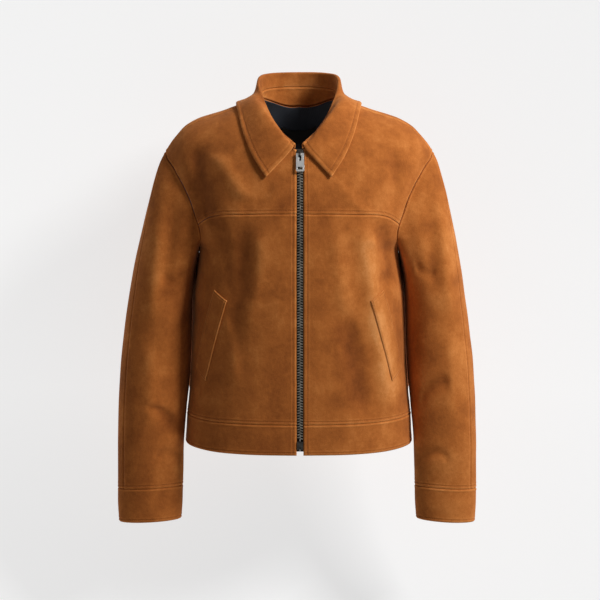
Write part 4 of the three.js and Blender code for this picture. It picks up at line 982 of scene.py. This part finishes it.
def addWelt(name, side):
    innerTurn, innerLevel, outerTurn, outerLevel = weltSizes["top"]
    innerFoot, innerFootLevel, outerFoot, outerFootLevel = weltSizes["foot"]
    down = closeSteps(weltSizes["length"], weltSizes["coarseDown"])[:, None]
    over = closeSteps(weltSizes["width"], weltSizes["coarseOver"])[None, :]
    topTurn = innerTurn + (outerTurn - innerTurn) * over
    footTurn = innerFoot + (outerFoot - innerFoot) * over
    topAt = innerLevel + (outerLevel - innerLevel) * over
    footAt = innerFootLevel + (outerFootLevel - innerFootLevel) * over
    level = topAt + (footAt - topAt) * down
    points = bodyPoint(False, side * (topTurn + (footTurn - topTurn) * down), level)
    hint = bodyHint(points)
    points = points + gridNormals(points, hint) * weltSizes["lift"]
    seams = {edge: ("turned", topstitch["welt"]) for edge in ("first", "last", "left", "right")}
    surface = pressed(points, hint, seams)
    surfaces[f"welt_{name}"] = surface
    addCloth(f"suede_welt_{name}", surface, weltSizes["wall"], suede, suede, f"welt_{name}")


def lineInside(surface, edge, distance, trim=(0.0, 0.0)):
    points, normals = surface["points"], surface["normals"]
    if edge in ("left", "right"):
        points, normals = points.swapaxes(0, 1), normals.swapaxes(0, 1)
    if edge in ("last", "right"):
        points, normals = points[::-1], normals[::-1]
    runs = runsFrom(points, "first")
    line, up = [], []
    for column in range(points.shape[1]):
        at = np.interp(distance, runs[:, column], np.arange(len(points)))
        low = min(int(at), len(points) - 2)
        t = at - low
        line.append(points[low, column] * (1 - t) + points[low + 1, column] * t)
        up.append(normals[low, column] * (1 - t) + normals[low + 1, column] * t)
    line, up = np.array(line), np.array(up)
    travelled = np.concatenate([[0], np.cumsum(np.linalg.norm(np.diff(line, axis=0), axis=-1))])
    inside = (travelled >= trim[0]) & (travelled <= travelled[-1] - trim[1])
    return line[inside], up[inside]


def stitchPlaces(line, up):
    travelled = np.concatenate([[0], np.cumsum(np.linalg.norm(np.diff(line, axis=0), axis=-1))])
    places = []
    for k in range(int(travelled[-1] / stitches["pitch"])):
        at = (k + 0.5) * stitches["pitch"]
        ends = [np.array([np.interp(at + shift, travelled, line[:, a]) for a in range(3)])
                for shift in (-stitches["length"] / 2, stitches["length"] / 2)]
        normal = unit(np.array([np.interp(at, travelled, up[:, a]) for a in range(3)]))
        ahead = unit(ends[1] - ends[0])
        beside = unit(np.cross(normal, ahead))
        middle = (ends[0] + ends[1]) / 2 + normal * stitches["lift"]
        axes = (beside * stitches["thick"] / 2, normal * stitches["thick"] / 2, ahead * stitches["length"] / 2, middle)
        place = Matrix.Identity(4)
        for column, axis in enumerate(axes):
            for row in range(3):
                place[row][column] = axis[row] * mm
        places.append(place)
    return places


def repeated(name, places, shape):
    # made in short runs, because each new shape is slower to add to a long mesh
    runLength = 40
    whole = bmesh.new()
    for start in range(0, len(places), runLength):
        run = bmesh.new()
        for place in places[start:start + runLength]:
            shape(run, place)
        data = bpy.data.meshes.new("run")
        run.to_mesh(data)
        run.free()
        whole.from_mesh(data)
        bpy.data.meshes.remove(data)
    data = bpy.data.meshes.new(name)
    whole.to_mesh(data)
    whole.free()
    return data


def oneStitch(mesh, place):
    bmesh.ops.create_uvsphere(mesh, u_segments=6, v_segments=4, radius=1, matrix=place)


def addStitches(name, lines):
    places = []
    for surface, edge, distance, trim in lines:
        places += stitchPlaces(*lineInside(surfaces[surface], edge, distance, trim))
    data = repeated(name, places, oneStitch)
    data.shade_smooth()
    return addObject(name, data, [threadLook])


def frontFace(z, x):
    z, x = np.broadcast_arrays(np.asarray(z, float), np.asarray(x, float))
    ridge = readTable(ridgeRows, "x", "z", np.abs(x))
    lift = np.degrees(np.arcsin(np.clip((z - body["armpitZ"]) / (ridge - body["armpitZ"]), 0, 1)))
    level = np.where(z <= body["armpitZ"], z - body["armpitZ"], lift)
    return bodyPoint(False, turnTo(False, x, level), level)[..., 1]


zipSizes = {"top": -74, "foot": -531, "toothTop": -87, "toothFoot": -518, "pitch": 4.2, "slant": 13,
            "toothWide": 4.9, "toothHigh": 1.75, "toothDeep": 2.4, "toothRound": 0.3, "reach": 4.2, "sunk": 0.5,
            "tapeGap": 0.15, "tapeWide": 13.7, "tapeEnds": 4, "tapeSunk": 2.6, "tapeWall": 0.6,
            "tapeRows": 120, "tapeColumns": 12, "tapeFlat": (0.014, 0.465)}


def addTape(name, side):
    ends = zipSizes["tapeEnds"]
    z = np.linspace(zipSizes["top"] + ends, zipSizes["foot"] - ends, zipSizes["tapeRows"])[:, None]
    x = body["zipX"] + side * np.linspace(zipSizes["tapeGap"], zipSizes["tapeWide"], zipSizes["tapeColumns"])[None, :]
    # behind the thicker waistband the tape lies a millimetre deeper
    y = frontFace(z, x) + zipSizes["tapeSunk"] + 1.0 * smoothStep(-z, 475, 500)
    points = np.stack([x + 0 * z, y, z + 0 * x], axis=-1)
    hint = np.zeros_like(points)
    hint[..., 1] = -1
    surface = {"points": points, "normals": gridNormals(points, hint), "tone": 0 * x + 0 * z}
    addCloth(f"woven_tape_{name}", surface, zipSizes["tapeWall"], tape, tape, f"zip_tape_{name}")


def oneTooth(mesh, place):
    made = bmesh.ops.create_cube(mesh, size=1, matrix=place)
    edges = list({edge for corner in made["verts"] for edge in corner.link_edges})
    bmesh.ops.bevel(mesh, geom=edges, offset=zipSizes["toothRound"] * mm, offset_type="OFFSET", segments=1, profile=0.5,
                    affect="EDGES", material=-1, clamp_overlap=True)


def addTeeth():
    places = []
    count = int((zipSizes["toothTop"] - zipSizes["toothFoot"]) / zipSizes["pitch"])
    for k in range(count * 2):
        side = 1 if k % 2 else -1
        z = zipSizes["toothTop"] - (k + 0.5) * zipSizes["pitch"] / 2
        x = body["zipX"] + side * (zipSizes["reach"] - zipSizes["toothWide"] / 2)
        y = float(frontFace(z, body["zipX"])) + zipSizes["sunk"]
        ahead = float(frontFace(z - 2, body["zipX"]) - frontFace(z + 2, body["zipX"]))
        place = Matrix.Translation(Vector((x, y, z)) * mm) @ Matrix.Rotation(math.atan2(ahead, -4) + math.pi, 4, "X")
        place = place @ Matrix.Rotation(math.radians(side * zipSizes["slant"]), 4, "Y")
        places.append(place @ Matrix.Diagonal((zipSizes["toothWide"] * mm, zipSizes["toothDeep"] * mm,
                                               zipSizes["toothHigh"] * mm, 1)))
    piece = addObject("zip_teeth", repeated("zip_teeth", places, oneTooth), [toothMetal])
    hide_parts("zip_chain")


def softened(name, node, material, bodyName, offset, segments):
    mesh = bmesh.new()
    mesh.from_mesh(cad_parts[node].data)
    bmesh.ops.remove_doubles(mesh, verts=mesh.verts, dist=1e-6)
    bmesh.ops.dissolve_limit(mesh, angle_limit=math.radians(4), verts=mesh.verts, edges=mesh.edges)
    sharp = [edge for edge in mesh.edges if edge.is_manifold and edge.calc_face_angle(0) > math.radians(30)]
    bmesh.ops.bevel(mesh, geom=sharp, offset=offset * mm, offset_type="OFFSET", segments=segments, profile=0.5,
                    affect="EDGES", material=-1, clamp_overlap=True)
    bmesh.ops.recalc_face_normals(mesh, faces=mesh.faces)
    data = bpy.data.meshes.new(name)
    mesh.to_mesh(data)
    mesh.free()
    data.materials.clear()
    piece = addObject(name, data, [material], bodyName)
    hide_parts(node)
    return piece


camera = {"place": (0.0019, -2.5908, -0.0911), "aim": (0.0019, 0, -0.310), "lens": 97.5, "sensor": 36}


def addCamera():
    data = bpy.data.cameras.new("camera")
    data.lens = camera["lens"]
    data.sensor_width = camera["sensor"]
    view = bpy.data.objects.new("camera", data)
    scene.collection.objects.link(view)
    view.location = camera["place"]
    view.rotation_euler = (Vector(camera["aim"]) - view.location).to_track_quat("-Z", "Y").to_euler()
    scene.camera = view


addCamera()
for name, side in (("left", 1), ("right", -1)):
    addFront(name, side)
addBack()
print("body panels made")
for name, side in (("left", 1), ("right", -1)):
    addSleeve(name, side)
print("sleeves made")
addCollar()
addLining()
for name, side in (("left", 1), ("right", -1)):
    addWelt(name, side)
    addTape(name, side)
print("collar, lining and pockets made")

addTeeth()
softened("dark_slider", "zip_slider", darkMetal, "jacket", 0.45, 3)
softened("bright_pull", "zip_pull", brightMetal, "pull_tab", 0.3, 2)
softened("zip_end_stop", "zip_stop", darkMetal, "jacket", 0.5, 2)
print("zip made")

for name in ("left", "right"):
    addStitches(f"thread_front_{name}", [
        (f"front_{name}", "left", topstitch["front"], (1, 1)), (f"yoke_{name}", "left", topstitch["front"], (1, 30)),
        (f"band_{name}", "left", topstitch["front"], (1, 1)), (f"yoke_{name}", "first", topstitch["yoke"], (6, 2)),
        (f"front_{name}", "first", topstitch["waist"], (6, 2)), (f"band_{name}", "last", topstitch["hem"], (6, 2)),
    ])
    addStitches(f"thread_sleeve_{name}", [
        (f"sleeve_{name}_front", "last", topstitch["cuff"], (1, 1)),
        (f"sleeve_{name}_back", "last", topstitch["cuff"], (1, 1)),
        (f"cuff_{name}", "last", topstitch["cuff"], (0, 0)),
    ])
    addStitches(f"thread_welt_{name}", [
        (f"welt_{name}", edge, topstitch["welt"], (2.6, 2.6)) for edge in ("first", "last", "left", "right")
    ])
addStitches("thread_back", [
    ("back", "first", topstitch["waist"], (2, 2)), ("band_back", "last", topstitch["hem"], (2, 2)),
    ("back", "last", topstitch["armhole"], (2, 2)),
])
addStitches("thread_collar", [
    ("collar_fall", "last", topstitch["collar"], (topstitch["collar"], topstitch["collar"])),
    ("collar_fall", "left", topstitch["collar"], (62, topstitch["collar"])),
    ("collar_fall", "right", topstitch["collar"], (62, topstitch["collar"])),
])
print("stitching made")

studio = {
    "world": 0.1,
    "cove": {"wall": 0.2, "floor": -0.98, "bend": 0.5, "near": -3.2, "top": 2.6, "wide": 3.2,
             "glow": 0.835, "leastGlow": 0.15, "glowFrom": -0.975, "glowRise": 9, "grey": 0.3, "lean": 3.2},
    "key": {"place": (1.75, -1.15, 1.3), "aim": (0.05, 0, -0.2), "size": 0.7, "power": 63},
    "fill": {"place": (-2.4, -2.6, 0.4), "aim": (0, 0, -0.3), "size": 2.4, "power": 3},
    "rim": {"place": (2.4, -0.5, 0.7), "aim": (0.1, 0, -0.2), "size": 1.2, "power": 2},
}


def addLight(name, place, aim, size, power):
    data = bpy.data.lights.new(name, "AREA")
    data.size = size
    data.energy = power
    light = bpy.data.objects.new(name, data)
    scene.collection.objects.link(light)
    light.location = place
    light.rotation_euler = (Vector(aim) - light.location).to_track_quat("-Z", "Y").to_euler()


# A pale floor that sweeps up into a wall close behind the jacket, which takes its soft shadow
def addCove():
    cove = studio["cove"]
    mesh = bmesh.new()
    bmesh.ops.create_grid(mesh, x_segments=1, y_segments=24, size=0.5)
    start = cove["wall"] - cove["bend"]
    for corner in mesh.verts:
        along = corner.co.y + 0.5
        if along < 0.25:
            y, z = cove["near"] + (start - cove["near"]) * along * 4, cove["floor"]
        elif along <= 0.75:
            angle = (along - 0.25) * math.pi
            y = start + cove["bend"] * math.sin(angle)
            z = cove["floor"] + cove["bend"] * (1 - math.cos(angle))
        else:
            low = cove["floor"] + cove["bend"]
            y, z = cove["wall"], low + (cove["top"] - low) * (along - 0.75) * 4
        corner.co = (corner.co.x * 2 * cove["wide"], y, z)
    data = bpy.data.meshes.new("cove")
    mesh.to_mesh(data)
    mesh.free()
    data.shade_smooth()
    floor = bpy.data.objects.new("cove", data)
    scene.collection.objects.link(floor)
    finish = Finish("paleCove", Roughness=0.9, Specular_IOR_Level=0.05, Emission_Strength=1.0)
    cloud = finish.noise(2)
    finish.feed("Base Color", finish.node("ShaderNodeValToRGB", {
        "stops": [(0.0, (cove["grey"] - 0.01,) * 3), (1.0, (cove["grey"] + 0.01,) * 3)]}, {"Fac": cloud}))
    # the wall glows less where the key light reaches it more, so it looks even; the floor hardly glows
    key = studio["key"]
    x, y, z = [finish.node("ShaderNodeSeparateXYZ", values={0: finish.place}, output=axis) for axis in "XYZ"]
    across, away, down = x - key["place"][0], y - key["place"][1], z - key["place"][2]
    far = across * across + away * away + down * down
    bendTop = cove["floor"] + cove["bend"]
    leaning = z.maths("MAXIMUM", bendTop - z, 0) * cove["lean"] + (cove["wall"] - key["place"][1])
    lit = far.maths("POWER", far, -1.5) * leaning * (cove["grey"] * key["power"] / math.pi ** 2)
    climb = z.maths("MINIMUM", (z - cove["glowFrom"]) * cove["glowRise"], 1)
    rise = z.maths("MAXIMUM", climb, cove["leastGlow"])
    finish.feed("Emission Color", (cove["glow"] - lit) * rise)
    data.materials.append(finish.material)


def addStudio():
    for name in ("key", "fill", "rim"):
        addLight(name, **studio[name])
    world = bpy.data.worlds.new("studio")
    scene.world = world
    world.use_nodes = True
    world.node_tree.nodes["Background"].inputs["Color"].default_value = (1, 1, 1, 1)
    world.node_tree.nodes["Background"].inputs["Strength"].default_value = studio["world"]
    scene.view_settings.view_transform = "Standard"
    addCove()


addStudio()
print("studio made")
